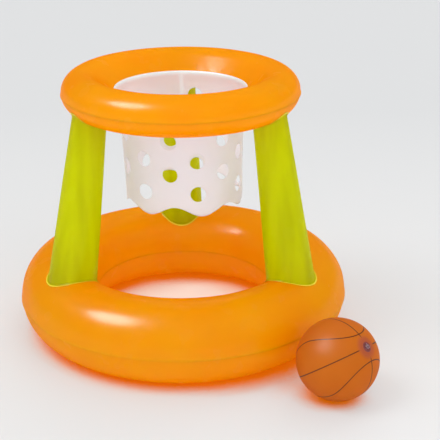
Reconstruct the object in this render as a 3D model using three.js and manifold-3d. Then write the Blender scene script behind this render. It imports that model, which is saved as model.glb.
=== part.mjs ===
// Inflatable poolside basketball hoop and its small ball, in millimetres with +Z up.
// A wide base ring floats or stands, three leaning pillars carry a smaller hoop ring,
// and a perforated vinyl net hangs from the inner weld of the hoop ring. Each ring is
// two film skins welded along their outer and inner edges. The ball stands beside it.
// The origin is on the ground, in the middle of the footprint of the hoop and its ball.
import * as THREE from "three";
import { mergeVertices } from "three/addons/utils/BufferGeometryUtils.js";
import Module from "manifold-3d";

// Film and fits
const filmWall = 0.3;
const seatGap = 0.3;
const cutOverrun = 4;
const mergeDistance = 0.001;

// Base ring: a tube that is wider over its outer weld than over the tube itself
const baseWidth = 670;
const baseTubeWidth = 152;
const baseTubeHeight = 158;
const baseOuterWeld = 5;
const baseInnerWeld = 2;
const baseContactBand = 26;
const baseRingSteps = 40;
const baseArcSteps = 10;

// Hoop ring: its section narrows to a point at the mouth, where the net is welded in. The
// crown's share is how much of the way from the tube's middle to that weld stays round.
const hoopSeamHeight = 494;
const hoopWidth = 471;
const hoopTubeWidth = 81;
const hoopTubeHeight = 77;
const hoopMouthWidth = 260;
const hoopOuterWeld = 4;
const hoopInnerWeld = 4;
const hoopCrownShare = 0.7105;
const hoopRingSteps = 36;
const hoopArcSteps = 5;
const hoopCrownSteps = 3;

// Pillars: a bearing is seen from above, counter-clockwise from +X
const backPillarBearing = 92.8;
const leftPillarBearing = 210;
const rightPillarBearing = 330;
const pillarFootWidth = 93;
const pillarHeadWidth = 66;
const pillarFootInset = 11;
const pillarHeadOutset = 5;
const pillarWeld = 4;
const pillarHeadCover = 14;
const pillarFacets = 16;
const airHoleWidth = 12;
const airHoleSides = 8;

// Net
const netLip = 4;
const netHemWidth = 238;
const netHemHeight = 281;
const netSway = 5;
const netScallop = 9;
const netScallopLead = 3.7;
const netCreases = 4;
const netCreaseBearing = 305;
const netCreaseReach = 4;
const netLobes = 7;
const netLobeBearing = 284.5;
const netHoleWidth = 30;
const netHolePitch = 66;
const netFirstHoleRise = 36;
const netArchStagger = 39;
const netHolesDownLobe = 3;
const netTopRowDrop = 29;
const netHoleHalfSteps = 5;
const netHemSteps = 3;
const netTaperPower = 3;

// Ball
const ballWidth = 152;
const ballContactWidth = 20;
const ballToWeld = 22;
const ballBearing = -48.45;
const ballRingSteps = 24;
const ballArcSteps = 12;

// Valves: where each one sits, and the sizes of the larger and the smaller kind
const baseValveBearing = 150;
const baseValveRise = 37.5;
const hoopValveBearing = 60;
const hoopValveRise = 30;
const ballValveBearing = -40.1;
const ballValveRise = 36.7;
const valveSides = 12;
const ringValve = {
  flangeWidth: 30,
  flangeWall: 0.8,
  collarWall: 1.2,
  collarDepth: 6,
  collarRise: 1,
  stemWidth: 8.8,
  stemBore: 6.4,
  stemTravel: 8,
  rimWidth: 12,
  rimWall: 1,
  lipWidth: 11.2,
  lipWall: 1,
  flapWall: 0.4,
  plugHeadWidth: 11.2,
  plugHeadWall: 1.4,
  plugStubLength: 3.5,
  plugTaper: 0.8,
  tabReach: 9,
  tabWidth: 3,
};
const ballValve = {
  flangeWidth: 19,
  flangeWall: 0.6,
  collarWall: 0.9,
  collarDepth: 4.5,
  collarRise: 0.6,
  stemWidth: 6.4,
  stemBore: 4.4,
  stemTravel: 6,
  rimWidth: 9,
  rimWall: 0.8,
  lipWidth: 8.4,
  lipWall: 0.8,
  flapWall: 0.4,
  plugHeadWidth: 8.4,
  plugHeadWall: 1.1,
  plugStubLength: 2.6,
  plugTaper: 0.6,
  tabReach: 6.8,
  tabWidth: 2.4,
};

// Places that follow from the sizes
const half = (width) => width / 2;
const degrees = (angle) => (angle * Math.PI) / 180;
const baseTubeReach = half(baseWidth) - baseOuterWeld - half(baseTubeWidth);
const baseSeamHeight = half(baseTubeHeight);
const hoopTubeReach = half(hoopWidth) - hoopOuterWeld - half(hoopTubeWidth);
const hoopInnerSpan = hoopTubeReach - half(hoopMouthWidth) - hoopInnerWeld;
const ballReach = half(baseWidth) + ballToWeld + half(ballWidth);
const ballX = ballReach * Math.cos(degrees(ballBearing));
const ballY = ballReach * Math.sin(degrees(ballBearing));
const ballFlatDrop =
  half(ballWidth) - Math.sqrt(half(ballWidth) ** 2 - half(ballContactWidth) ** 2);
const ballCentreHeight = half(ballWidth) - ballFlatDrop;
const footprintX = half(Math.max(half(baseWidth), ballX + half(ballWidth)) - half(baseWidth));
const footprintY = half(half(baseWidth) + Math.min(-half(baseWidth), ballY - half(ballWidth)));

// Finishes
const finish = (name, color, roughness, opacity = 1) =>
  new THREE.MeshStandardMaterial({
    name,
    color,
    roughness,
    metalness: 0,
    opacity,
    transparent: opacity < 1,
  });
const orangeFilm = () => finish("orange_vinyl_film", 0xf59a0f, 0.28);
const limeFilm = () => finish("lime_vinyl_film", 0xc4c70a, 0.3);
const milkyFilm = () => finish("milky_vinyl_film", 0xe9dcda, 0.45, 0.85);
const ballFilm = () => finish("printed_ball_film", 0xcf6e2a, 0.5);
const clearVinyl = () => finish("clear_moulded_vinyl", 0xe6ddd2, 0.25, 0.6);

const wasm = await Module();
wasm.setup();

// Turns a closed geometry into a solid that can be joined and cut
function solidOf(geometry) {
  const bare = geometry.clone();
  bare.deleteAttribute("normal");
  bare.deleteAttribute("uv");
  const merged = mergeVertices(bare, mergeDistance);
  return new wasm.Manifold(
    new wasm.Mesh({
      numProp: 3,
      vertProperties: merged.attributes.position.array,
      triVerts: new Uint32Array(merged.index.array),
    }),
  );
}

// Turns a solid back into a geometry
function geometryOf(solid) {
  const mesh = solid.getMesh();
  const geometry = new THREE.BufferGeometry();
  geometry.setAttribute("position", new THREE.BufferAttribute(mesh.vertProperties, 3));
  geometry.setIndex(new THREE.BufferAttribute(mesh.triVerts, 1));
  geometry.computeVertexNormals();
  return geometry;
}

function meshOf(name, geometry, material) {
  const mesh = new THREE.Mesh(geometry, material);
  mesh.name = name;
  return mesh;
}

const point = (across, up) => new THREE.Vector2(across, up);

// A body of revolution about +Z from an outline whose outer side runs upwards
function turned(outline, steps) {
  return new THREE.LatheGeometry(outline, steps).rotateX(Math.PI / 2);
}

// A round bar from one height to another, wide at both ends as given
function bar(lowWidth, highWidth, low, high, sides) {
  return new THREE.CylinderGeometry(half(highWidth), half(lowWidth), high - low, sides)
    .rotateX(Math.PI / 2)
    .translate(0, 0, low + half(high - low));
}

// The frame of a place whose outward direction has a bearing and a rise in degrees:
// X runs round the ring, Y runs up the slope and Z points outwards
function placeFrame(position, bearing, rise) {
  const b = degrees(bearing);
  const r = degrees(rise);
  const across = new THREE.Vector3(-Math.sin(b), Math.cos(b), 0);
  const outward = new THREE.Vector3(
    Math.cos(r) * Math.cos(b),
    Math.cos(r) * Math.sin(b),
    Math.sin(r),
  );
  const upSlope = new THREE.Vector3().crossVectors(outward, across);
  return new THREE.Matrix4().makeBasis(across, upSlope, outward).setPosition(position);
}

// Ring sections. Each half runs from the outer seam to the inner seam, measured from the
// seam's height; offset moves the whole surface outwards.

// Points of an ellipse between two angles, the first and last included
function ellipsePoints(reach, halfWide, halfHigh, from, to, steps) {
  return Array.from({ length: steps + 1 }, (_, i) => {
    const angle = from + ((to - from) * i) / steps;
    return point(reach + halfWide * Math.cos(angle), halfHigh * Math.sin(angle));
  });
}

function baseUpperHalf(offset, start) {
  const wide = half(baseTubeWidth) + offset;
  const high = half(baseTubeHeight) + offset;
  const from = Math.asin(start / high);
  return ellipsePoints(baseTubeReach, wide, high, from, Math.PI - from, baseArcSteps);
}

// The lower half is pressed flat where it stands on the ground
function baseLowerHalf(offset, start) {
  const wide = half(baseTubeWidth) + offset;
  const stretch = Math.sqrt(1 - (baseContactBand / baseTubeWidth) ** 2);
  const deep = half(baseTubeHeight) / stretch + offset;
  const flat = half(baseTubeHeight) + offset;
  const from = Math.asin(start / deep);
  const to = Math.asin(flat / deep);
  const steps = half(baseArcSteps) - 1;
  const outer = ellipsePoints(baseTubeReach, wide, deep, from, to, steps);
  const inner = ellipsePoints(baseTubeReach, wide, deep, Math.PI - to, Math.PI - from, steps);
  return [...outer, ...inner].map((p) => point(p.x, -p.y));
}

// The outer side is round, the crown is round up to where a straight side leaves it
// for the mouth's seam
function hoopUpperHalf(offset, start) {
  const wide = half(hoopTubeWidth) + offset;
  const high = half(hoopTubeHeight) + offset;
  const crownWide = hoopCrownShare * hoopInnerSpan + offset;
  const span = hoopInnerSpan + offset;
  const from = Math.asin(start / high);
  const top = Math.PI / 2;
  const leave = Math.acos(-crownWide / span);
  const outer = ellipsePoints(hoopTubeReach, wide, high, from, top, hoopArcSteps);
  const inner = ellipsePoints(hoopTubeReach, crownWide, high, top, leave, hoopCrownSteps);
  return [...outer, ...inner.slice(1), point(hoopTubeReach - span, start)];
}

const hoopLowerHalf = (offset, start) =>
  hoopUpperHalf(offset, start).map((p) => point(p.x, -p.y));

// One skin of a ring: the film of half a section with a flat weld at either seam
function skinOutline(halfSection, seamHeight, outerTip, innerTip, upwards) {
  const film = upwards ? filmWall : -filmWall;
  const lift = (p) => point(p.x, p.y + seamHeight);
  const outside = halfSection(0, filmWall).map(lift);
  const inside = halfSection(-filmWall, 0).map(lift).reverse();
  const outline = [
    point(outerTip, seamHeight),
    point(outerTip, seamHeight + film),
    ...outside,
    point(innerTip, seamHeight + film),
    point(innerTip, seamHeight),
    ...inside,
    point(outerTip, seamHeight),
  ];
  return upwards ? outline : outline.reverse();
}

// A whole ring as one solid, its surface moved outwards by the offset
function ringSolid(upperHalf, lowerHalf, seamHeight, offset, steps) {
  const lift = (p) => point(p.x, p.y + seamHeight);
  const upper = upperHalf(offset, 0).map(lift);
  const lower = lowerHalf(offset, 0).map(lift).reverse();
  const outline = [...upper, ...lower.slice(1, -1), upper[0]];
  return solidOf(turned(outline, steps));
}

const baseSolid = (offset) =>
  ringSolid(baseUpperHalf, baseLowerHalf, baseSeamHeight, offset, baseRingSteps);
const hoopSolid = (offset) =>
  ringSolid(hoopUpperHalf, hoopLowerHalf, hoopSeamHeight, offset, hoopRingSteps);
const filmBetween = (solidAt, from, to) => solidAt(to).subtract(solidAt(from));

// Pillars

const pillarFootReach = baseTubeReach - pillarFootInset;
const pillarHeadReach = hoopTubeReach + pillarHeadOutset;
const pillarFootHeight = baseTubeHeight;
const pillarHeadHeight = hoopSeamHeight - half(hoopTubeHeight);
const pillarLength = Math.hypot(
  pillarHeadReach - pillarFootReach,
  pillarHeadHeight - pillarFootHeight,
);
const pillarLean = Math.atan2(
  pillarFootReach - pillarHeadReach,
  pillarHeadHeight - pillarFootHeight,
);
const pillarRunDown = half(baseTubeHeight);
const pillarRunUp = half(hoopTubeHeight) - pillarHeadCover;
const pillarGrowth = (pillarFootWidth - pillarHeadWidth) / pillarLength;
const discRise = seatGap + filmWall;
const sleeveRise = discRise + seatGap;

// A round bar on a pillar's axis; along is measured from where the axis leaves the base ring
function pillarBar(bearing, lowWidth, highWidth, low, high) {
  return bar(lowWidth, highWidth, low, high, pillarFacets)
    .rotateY(-pillarLean)
    .translate(pillarFootReach, 0, pillarFootHeight)
    .rotateZ(degrees(bearing));
}

function pillarTaper(bearing, extraWidth) {
  const low = -pillarRunDown;
  const high = pillarLength + pillarRunUp;
  const lowWidth = pillarFootWidth - pillarGrowth * low + extraWidth;
  const highWidth = pillarFootWidth - pillarGrowth * high + extraWidth;
  return solidOf(pillarBar(bearing, lowWidth, highWidth, low, high));
}

function footBar(bearing, width) {
  return solidOf(pillarBar(bearing, width, width, -pillarRunDown, pillarRunDown));
}

function headBar(bearing, width) {
  const high = pillarLength + pillarRunUp;
  return solidOf(pillarBar(bearing, width, width, high - half(hoopTubeWidth), high));
}

const footWeldWidth = pillarFootWidth + 2 * pillarWeld;
const headWeldWidth = pillarHeadWidth + 2 * pillarWeld;

function airHole(bearing) {
  return solidOf(
    bar(airHoleWidth, airHoleWidth, half(baseTubeHeight), baseTubeHeight + cutOverrun, airHoleSides)
      .translate(pillarFootReach, 0, 0)
      .rotateZ(degrees(bearing)),
  );
}

function footDisc(bearing) {
  const film = filmBetween(baseSolid, seatGap, discRise);
  return film.intersect(footBar(bearing, footWeldWidth)).subtract(airHole(bearing));
}

function headDisc(bearing) {
  return filmBetween(hoopSolid, seatGap, discRise).intersect(headBar(bearing, headWeldWidth));
}

// The sleeve's film, turned outwards at both ends into a weld that lies on its discs
function sleeve(bearing) {
  const inside = pillarTaper(bearing, -2 * filmWall);
  const footWeld = filmBetween(baseSolid, sleeveRise, sleeveRise + filmWall)
    .intersect(footBar(bearing, footWeldWidth));
  const headWeld = filmBetween(hoopSolid, sleeveRise, sleeveRise + filmWall)
    .intersect(headBar(bearing, headWeldWidth));
  return pillarTaper(bearing, 0)
    .subtract(baseSolid(sleeveRise))
    .subtract(hoopSolid(sleeveRise))
    .add(footWeld)
    .add(headWeld)
    .subtract(inside);
}

// Net

const netTopHeight = hoopSeamHeight + netLip;
const netTopRadius = half(hoopMouthWidth) - seatGap;
const netColumns = 2 * netLobes;
const netColumnAngle = (2 * Math.PI) / netColumns;

// Where a place on the flat pattern hangs. The film is round at the mouth and boxier towards
// the hem, where its creases stand out and the whole net sways to one side.
function netPoint(angle, height, inset) {
  const climb = Math.max((height - netHemHeight) / (netTopHeight - netHemHeight), 0);
  const spread = (netTopRadius - half(netHemWidth)) * climb ** netTaperPower;
  const toCrease = Math.abs(Math.sin(half(netCreases) * (angle - degrees(netCreaseBearing))));
  const crease = netCreaseReach * (1 - climb) * (1 - 2 * toCrease);
  const radius = half(netHemWidth) + spread + crease - inset;
  const sway = netSway * (1 - climb);
  return [radius * Math.cos(angle) + sway, radius * Math.sin(angle), height];
}

// The hem's height at an angle from the middle of a lobe column
const netHem = (turn) =>
  netHemHeight - netScallop * Math.cos(netLobes * (turn - degrees(netScallopLead)));

// The holes down the middle of a column; those of arch columns are staggered upwards
function columnHoles(isLobe) {
  const first = netHemHeight + netFirstHoleRise + (isLobe ? 0 : netArchStagger);
  const count = isLobe ? netHolesDownLobe : netHolesDownLobe - 1;
  return Array.from({ length: count }, (_, i) => first + i * netHolePitch);
}

// Half of one column as a flat outline: x is the distance from the column's middle line
function halfColumn(isLobe, side) {
  const edge = half(netColumnAngle);
  const middleTurn = isLobe ? 0 : netColumnAngle;
  const hem = Array.from({ length: netHemSteps + 1 }, (_, i) => {
    const x = (edge * i) / netHemSteps;
    return point(x, netHem(middleTurn + side * x));
  });
  const first = netHemHeight + netFirstHoleRise;
  const levels = [1, 2, 3, 4].map((i) => first + (i * netHolePitch) / 2);
  const topRow = netTopHeight - netTopRowDrop;
  const border = levels.filter((z) => z < topRow).map((z) => point(edge, z));
  const reach = half(netHoleWidth) / half(netHemWidth);
  const notches = columnHoles(isLobe)
    .reverse()
    .flatMap((middle) =>
      Array.from({ length: netHoleHalfSteps + 1 }, (_, i) => {
        const angle = Math.PI * (0.5 - i / netHoleHalfSteps);
        const across = i === 0 || i === netHoleHalfSteps ? 0 : reach * Math.cos(angle);
        return point(across, middle + half(netHoleWidth) * Math.sin(angle));
      }),
    );
  return [
    ...hem,
    ...border,
    point(edge, topRow),
    point(edge, netTopHeight),
    point(0, netTopHeight),
    ...notches.filter((p) => p.y < netTopHeight),
  ];
}

// The flat pattern of the whole net: corner places as angle and height, and its triangles
function netPattern() {
  const corners = [];
  const seen = new Map();
  const faces = [];
  const cornerAt = (angle, height) => {
    const turn = THREE.MathUtils.euclideanModulo(angle, 2 * Math.PI);
    const key = (turn / netColumnAngle).toFixed(5) + " " + (height / netTopHeight).toFixed(6);
    const whole = key.replace(netColumns.toFixed(5) + " ", (0).toFixed(5) + " ");
    if (!seen.has(whole)) seen.set(whole, corners.push({ angle: turn, height }) - 1);
    return seen.get(whole);
  };
  for (let column = 0; column < netColumns; column++) {
    const middle = degrees(netLobeBearing) + column * netColumnAngle;
    for (const side of [1, -1]) {
      const outline = halfColumn(column % 2 === 0, side);
      const cut = THREE.ShapeUtils.triangulateShape(outline, []);
      const ids = outline.map((p) => cornerAt(middle + side * p.x, p.y));
      for (const [a, b, c] of cut) {
        const area = THREE.ShapeUtils.area([outline[a], outline[b], outline[c]]) * side;
        faces.push(area > 0 ? [ids[a], ids[b], ids[c]] : [ids[a], ids[c], ids[b]]);
      }
    }
  }
  return { corners, faces };
}

// The pattern bent round the mouth and given its film thickness
function netSleeve() {
  const { corners, faces } = netPattern();
  const positions = [];
  for (const inset of [0, filmWall]) {
    for (const { angle, height } of corners) positions.push(...netPoint(angle, height, inset));
  }
  const count = corners.length;
  const index = [];
  const open = new Map();
  for (const [a, b, c] of faces) {
    index.push(a, b, c, count + a, count + c, count + b);
    for (const [from, to] of [[a, b], [b, c], [c, a]]) {
      if (!open.delete(to + " " + from)) open.set(from + " " + to, [from, to]);
    }
  }
  for (const [from, to] of open.values()) {
    index.push(from, count + from, count + to, from, count + to, to);
  }
  const geometry = new THREE.BufferGeometry();
  geometry.setAttribute("position", new THREE.Float32BufferAttribute(positions, 3));
  geometry.setIndex(index);
  geometry.computeVertexNormals();
  return geometry;
}

// Ball

function ballSolid(offset) {
  const radius = half(ballWidth) + offset;
  const flat = -(ballCentreHeight + offset);
  const from = Math.asin(flat / radius);
  const arc = ellipsePoints(0, radius, radius, from, Math.PI / 2, ballArcSteps);
  const outline = [point(0, flat), ...arc.slice(0, -1), point(0, radius)];
  return solidOf(turned(outline, ballRingSteps).translate(ballX, ballY, ballCentreHeight));
}

// Valves. Each is drawn upright about +Z with the film's outer face at zero.

const stemClear = (v) => v.stemWidth + 2 * seatGap;
const collarWidth = (v) => stemClear(v) + 2 * v.collarWall;
const rimLow = (v) => v.collarRise + seatGap;
const rimHigh = (v) => rimLow(v) + v.rimWall;
const lipHigh = (v) => -(v.collarDepth + seatGap + v.stemTravel);
const lipLow = (v) => lipHigh(v) - v.lipWall;

function roundBar(lowWidth, highWidth, low, high) {
  return solidOf(bar(lowWidth, highWidth, low, high, valveSides));
}

function tab(v, low, high) {
  const box = new THREE.BoxGeometry(v.tabWidth, v.tabReach, high - low);
  return solidOf(box.translate(0, half(v.tabReach), low + half(high - low)));
}

function placedBar(v, frame, width, low, high) {
  return solidOf(bar(width, width, low, high, valveSides).applyMatrix4(frame));
}

// The hole in the film that the collar stands in
function valveHole(v, frame) {
  const reach = v.flangeWall + cutOverrun;
  return placedBar(v, frame, collarWidth(v) + 2 * seatGap, -reach, reach);
}

// The flange lies against the film's inner face and follows its curve
function valveFlange(v, frame, solidAt) {
  const top = -(filmWall + seatGap);
  const disc = filmBetween(solidAt, top - v.flangeWall, top)
    .intersect(placedBar(v, frame, v.flangeWidth, -half(v.flangeWidth), half(v.flangeWidth)));
  return disc
    .add(placedBar(v, frame, collarWidth(v), -v.collarDepth, v.collarRise))
    .subtract(placedBar(v, frame, stemClear(v), -half(v.flangeWidth), half(v.flangeWidth)));
}

function valveStem(v) {
  return roundBar(v.stemWidth, v.stemWidth, lipLow(v), rimHigh(v))
    .add(roundBar(v.rimWidth, v.rimWidth, rimLow(v), rimHigh(v)))
    .add(roundBar(v.lipWidth, v.lipWidth, lipLow(v), lipHigh(v)))
    .add(tab(v, rimLow(v), rimHigh(v)))
    .subtract(roundBar(v.stemBore, v.stemBore, lipLow(v) - cutOverrun, rimHigh(v) + cutOverrun));
}

// The one-way flap closes the inner end of the stem
function valveFlap(v) {
  const top = lipLow(v) - seatGap;
  return roundBar(v.stemWidth, v.stemWidth, top - v.flapWall, top);
}

function valvePlug(v) {
  const low = rimHigh(v) + seatGap;
  const stubWidth = v.stemBore - 2 * seatGap;
  const tip = low - v.plugStubLength;
  return roundBar(v.plugHeadWidth, v.plugHeadWidth, low, low + v.plugHeadWall)
    .add(roundBar(stubWidth - v.plugTaper, stubWidth, tip, low))
    .add(tab(v, low, low + v.rimWall));
}

// A valve's moving pieces in a group that stands on the film at its frame
function valvePieces(name, v, frame) {
  const group = new THREE.Group();
  group.add(meshOf(name + "_valve_stem", geometryOf(valveStem(v)), clearVinyl()));
  group.add(meshOf(name + "_valve_flap", geometryOf(valveFlap(v)), clearVinyl()));
  group.add(meshOf(name + "_valve_plug", geometryOf(valvePlug(v)), clearVinyl()));
  group.applyMatrix4(frame);
  return group;
}

// A place on a ring's tube, at an angle round its section
function ringPlace(reach, wide, high, seamHeight, bearing, turn) {
  const across = reach + wide * Math.cos(degrees(turn));
  const b = degrees(bearing);
  const rise = (Math.atan2(Math.sin(degrees(turn)) / high, Math.cos(degrees(turn)) / wide) * 180)
    / Math.PI;
  const position = new THREE.Vector3(
    across * Math.cos(b),
    across * Math.sin(b),
    seamHeight + high * Math.sin(degrees(turn)),
  );
  return placeFrame(position, bearing, rise);
}

const baseValveFrame = ringPlace(
  baseTubeReach,
  half(baseTubeWidth),
  half(baseTubeHeight),
  baseSeamHeight,
  baseValveBearing,
  baseValveRise,
);
const hoopValveFrame = ringPlace(
  hoopTubeReach,
  half(hoopTubeWidth),
  half(hoopTubeHeight),
  hoopSeamHeight,
  hoopValveBearing,
  hoopValveRise,
);
const ballValveFrame = placeFrame(new THREE.Vector3(0, 0, 0), ballValveBearing, ballValveRise);
ballValveFrame.setPosition(
  new THREE.Vector3(0, 0, half(ballWidth))
    .applyMatrix4(ballValveFrame)
    .add(new THREE.Vector3(ballX, ballY, ballCentreHeight)),
);

// Assembly

const pillarBearings = {
  back: backPillarBearing,
  left: leftPillarBearing,
  right: rightPillarBearing,
};

function baseRing() {
  const group = new THREE.Group();
  const outerTip = half(baseWidth);
  const innerTip = baseTubeReach - half(baseTubeWidth) - baseInnerWeld;
  const skin = (halfSection, upwards) =>
    turned(skinOutline(halfSection, baseSeamHeight, outerTip, innerTip, upwards), baseRingSteps);
  let top = solidOf(skin(baseUpperHalf, true)).subtract(valveHole(ringValve, baseValveFrame));
  for (const bearing of Object.values(pillarBearings)) top = top.subtract(airHole(bearing));
  const flange = valveFlange(ringValve, baseValveFrame, baseSolid);
  group.add(meshOf("base_ring_top_skin", geometryOf(top), orangeFilm()));
  group.add(meshOf("base_ring_bottom_skin", skin(baseLowerHalf, false), orangeFilm()));
  group.add(meshOf("base_valve_flange", geometryOf(flange), clearVinyl()));
  group.add(valvePieces("base", ringValve, baseValveFrame));
  return group;
}

function hoopRing() {
  const group = new THREE.Group();
  const skin = (halfSection, upwards) => {
    const outline = skinOutline(
      halfSection,
      hoopSeamHeight,
      half(hoopWidth),
      half(hoopMouthWidth),
      upwards,
    );
    return turned(outline, hoopRingSteps);
  };
  const top = solidOf(skin(hoopUpperHalf, true)).subtract(valveHole(ringValve, hoopValveFrame));
  const flange = valveFlange(ringValve, hoopValveFrame, hoopSolid);
  group.add(meshOf("hoop_ring_top_skin", geometryOf(top), orangeFilm()));
  group.add(meshOf("hoop_ring_bottom_skin", skin(hoopLowerHalf, false), orangeFilm()));
  group.add(meshOf("hoop_valve_flange", geometryOf(flange), clearVinyl()));
  group.add(valvePieces("hoop", ringValve, hoopValveFrame));
  group.add(meshOf("net_sleeve", netSleeve(), milkyFilm()));
  return group;
}

function pillar(side, bearing) {
  const group = new THREE.Group();
  const name = "pillar_" + side;
  group.add(meshOf(name + "_sleeve", geometryOf(sleeve(bearing)), limeFilm()));
  group.add(meshOf(name + "_foot_disc", geometryOf(footDisc(bearing)), limeFilm()));
  group.add(meshOf(name + "_head_disc", geometryOf(headDisc(bearing)), limeFilm()));
  return group;
}

function ball() {
  const group = new THREE.Group();
  const skin = filmBetween(ballSolid, -filmWall, 0).subtract(valveHole(ballValve, ballValveFrame));
  const flange = valveFlange(ballValve, ballValveFrame, ballSolid);
  group.add(meshOf("ball_skin", geometryOf(skin), ballFilm()));
  group.add(meshOf("ball_valve_flange", geometryOf(flange), clearVinyl()));
  group.add(valvePieces("ball", ballValve, ballValveFrame));
  return group;
}

const set = new THREE.Group();
set.add(baseRing());
set.add(hoopRing());
for (const [side, bearing] of Object.entries(pillarBearings)) set.add(pillar(side, bearing));
set.add(ball());
set.position.set(-footprintX, -footprintY, 0);

export default set;
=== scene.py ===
"""Dresses an inflatable poolside basketball hoop and its small ball for a studio picture.

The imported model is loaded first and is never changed. Every piece made here stands for a
node of it and lies in the same place, in metres with +Z up, apart from the valves' straps,
which the model has only as tabs. Sizes are written in millimetres, as they were measured,
and turned to metres by MM. Inflated film is a surface with its film thickness added by a
Solidify modifier, and it is welded along flat seams.
"""

import logging
import math
from collections.abc import Callable, Iterable
from dataclasses import dataclass, field
from enum import Enum

import bmesh
import bpy
from mathutils import Matrix, Vector, noise


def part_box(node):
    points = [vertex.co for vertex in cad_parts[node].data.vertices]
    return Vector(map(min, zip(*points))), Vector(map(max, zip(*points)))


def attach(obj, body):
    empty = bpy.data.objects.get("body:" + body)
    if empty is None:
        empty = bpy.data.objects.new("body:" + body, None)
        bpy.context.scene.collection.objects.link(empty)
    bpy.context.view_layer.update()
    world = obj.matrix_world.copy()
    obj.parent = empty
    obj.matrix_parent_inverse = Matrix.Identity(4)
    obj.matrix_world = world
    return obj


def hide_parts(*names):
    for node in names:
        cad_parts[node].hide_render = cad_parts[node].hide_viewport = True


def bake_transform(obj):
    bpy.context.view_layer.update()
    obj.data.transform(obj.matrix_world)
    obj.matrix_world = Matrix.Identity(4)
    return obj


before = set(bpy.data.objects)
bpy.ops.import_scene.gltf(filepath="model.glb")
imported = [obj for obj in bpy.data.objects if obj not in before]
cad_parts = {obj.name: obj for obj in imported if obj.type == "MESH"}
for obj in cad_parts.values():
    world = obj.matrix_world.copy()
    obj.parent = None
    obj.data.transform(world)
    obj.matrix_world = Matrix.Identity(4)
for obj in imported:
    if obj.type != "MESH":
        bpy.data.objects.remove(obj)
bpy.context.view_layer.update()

LOG = logging.getLogger("poolside_hoop")

MM = 0.001
FULL_TURN = 2 * math.pi
# The film's thickness, and the gap between pieces that lie on each other, in millimetres
FILM_WALL = 0.3
SEAT_GAP = 0.3
# Brings the noise function's values to about -1 to 1
NOISE_GAIN = 1.8
WELD = "weld"
# The weld's value where the film lies on a valve's flange; a seam has at most 1
SEATED = 2.0

# Short names for types
Bend = Callable[[float, float], float]
Span = tuple[float, float]
Way = tuple[float, float, float]
Piece, Material = bpy.types.Object, bpy.types.Material
Tree, Socket = bpy.types.NodeTree, bpy.types.NodeSocket
Mesh, Edge, Vert = bmesh.types.BMesh, bmesh.types.BMEdge, bmesh.types.BMVert


# Small helpers


def linear(colour: str) -> tuple[float, ...]:
    """Turns an sRGB hex colour into the linear one that a shader takes.

    Args:
        colour: The colour as "#rrggbb".

    Returns:
        Its red, green and blue in linear light, and an alpha of 1.
    """
    shares = [int(colour[i : i + 2], 16) / 255 for i in (1, 3, 5)]
    lights = (c / 12.92 if c <= 0.04045 else ((c + 0.055) / 1.055) ** 2.4 for c in shares)
    return (*lights, 1.0)


def per_metre(size_mm: float) -> float:
    """Gives the scale of a texture whose features are this many millimetres apart."""
    return 1 / (size_mm * MM)


def eased(low: float, high: float, value: float) -> float:
    """Rises smoothly from 0 at low to 1 at high, and falls where low is the larger."""
    share = min(max((value - low) / (high - low), 0.0), 1.0)
    return share * share * (3 - 2 * share)


def turned(reach: float, angle: float, height: float) -> Vector:
    """Gives the point at a reach and an angle round +Z, at a height."""
    return Vector((reach * math.cos(angle), reach * math.sin(angle), height))


def softly_over(value: float, floor: float, softness: float) -> float:
    """Keeps a value above a floor, with a soft corner where it would have gone under."""
    over = value - floor
    return floor + 0.5 * (over + math.hypot(over, softness))


def soft_corner(start: Vector, corner: Vector, end: Vector, steps: int) -> list[Vector]:
    """Rounds a corner.

    Args:
        start: Where the curve begins.
        corner: The corner that it is drawn towards.
        end: Where the curve ends.
        steps: How many stretches it has.

    Returns:
        The points of the curve, both ends included.
    """
    shares = [i / steps for i in range(steps + 1)]
    return [start * (1 - t) ** 2 + corner * (2 * t * (1 - t)) + end * t**2 for t in shares]


def ripple(angle: float, per_turn: float, seed: float) -> float:
    """Gives an uneven wave round a circle.

    Args:
        angle: Where on the circle, in radians.
        per_turn: Roughly how many waves go round.
        seed: Picks one wave of many.

    Returns:
        The height of the wave, from about -1 to 1.
    """
    size = per_turn / FULL_TURN
    place = Vector((size * math.cos(angle), size * math.sin(angle), seed))
    return NOISE_GAIN * noise.noise(place)


def place_frame(position: Vector, bearing: float, rise: float) -> Matrix:
    """Gives the frame of a place on a film.

    Args:
        position: The place, in metres.
        bearing: Its outward direction seen from above, in degrees.
        rise: Its outward direction above the horizon, in degrees.

    Returns:
        A frame with X round the object, Y up the slope and Z outwards.
    """
    b, r = math.radians(bearing), math.radians(rise)
    across = Vector((-math.sin(b), math.cos(b), 0))
    outward = Vector((math.cos(r) * math.cos(b), math.cos(r) * math.sin(b), math.sin(r)))
    slope = outward.cross(across)
    return Matrix.Translation(position) @ Matrix((across, slope, outward)).transposed().to_4x4()


# Finishes


def add(tree: Tree, kind: str, links: dict | None = None, **settings: object) -> list[Socket]:
    """Adds a node with its settings and links.

    Args:
        tree: The node tree that it goes into.
        kind: The node's type.
        links: For each input, the socket that feeds it or its own value.
        **settings: Properties of the node.

    Returns:
        The node's outputs.
    """
    made = tree.nodes.new(kind)
    for name, value in settings.items():
        setattr(made, name, value)
    for key, value in (links or {}).items():
        if isinstance(value, Socket):
            tree.links.new(value, made.inputs[key])
        else:
            made.inputs[key].default_value = value
    return made.outputs


def emptied(holder: Material | bpy.types.World) -> Tree:
    """Clears away the nodes that a new material or world starts with.

    Args:
        holder: The material or the world.

    Returns:
        Its node tree.
    """
    holder.use_nodes = True
    holder.node_tree.nodes.clear()
    return holder.node_tree


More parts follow.
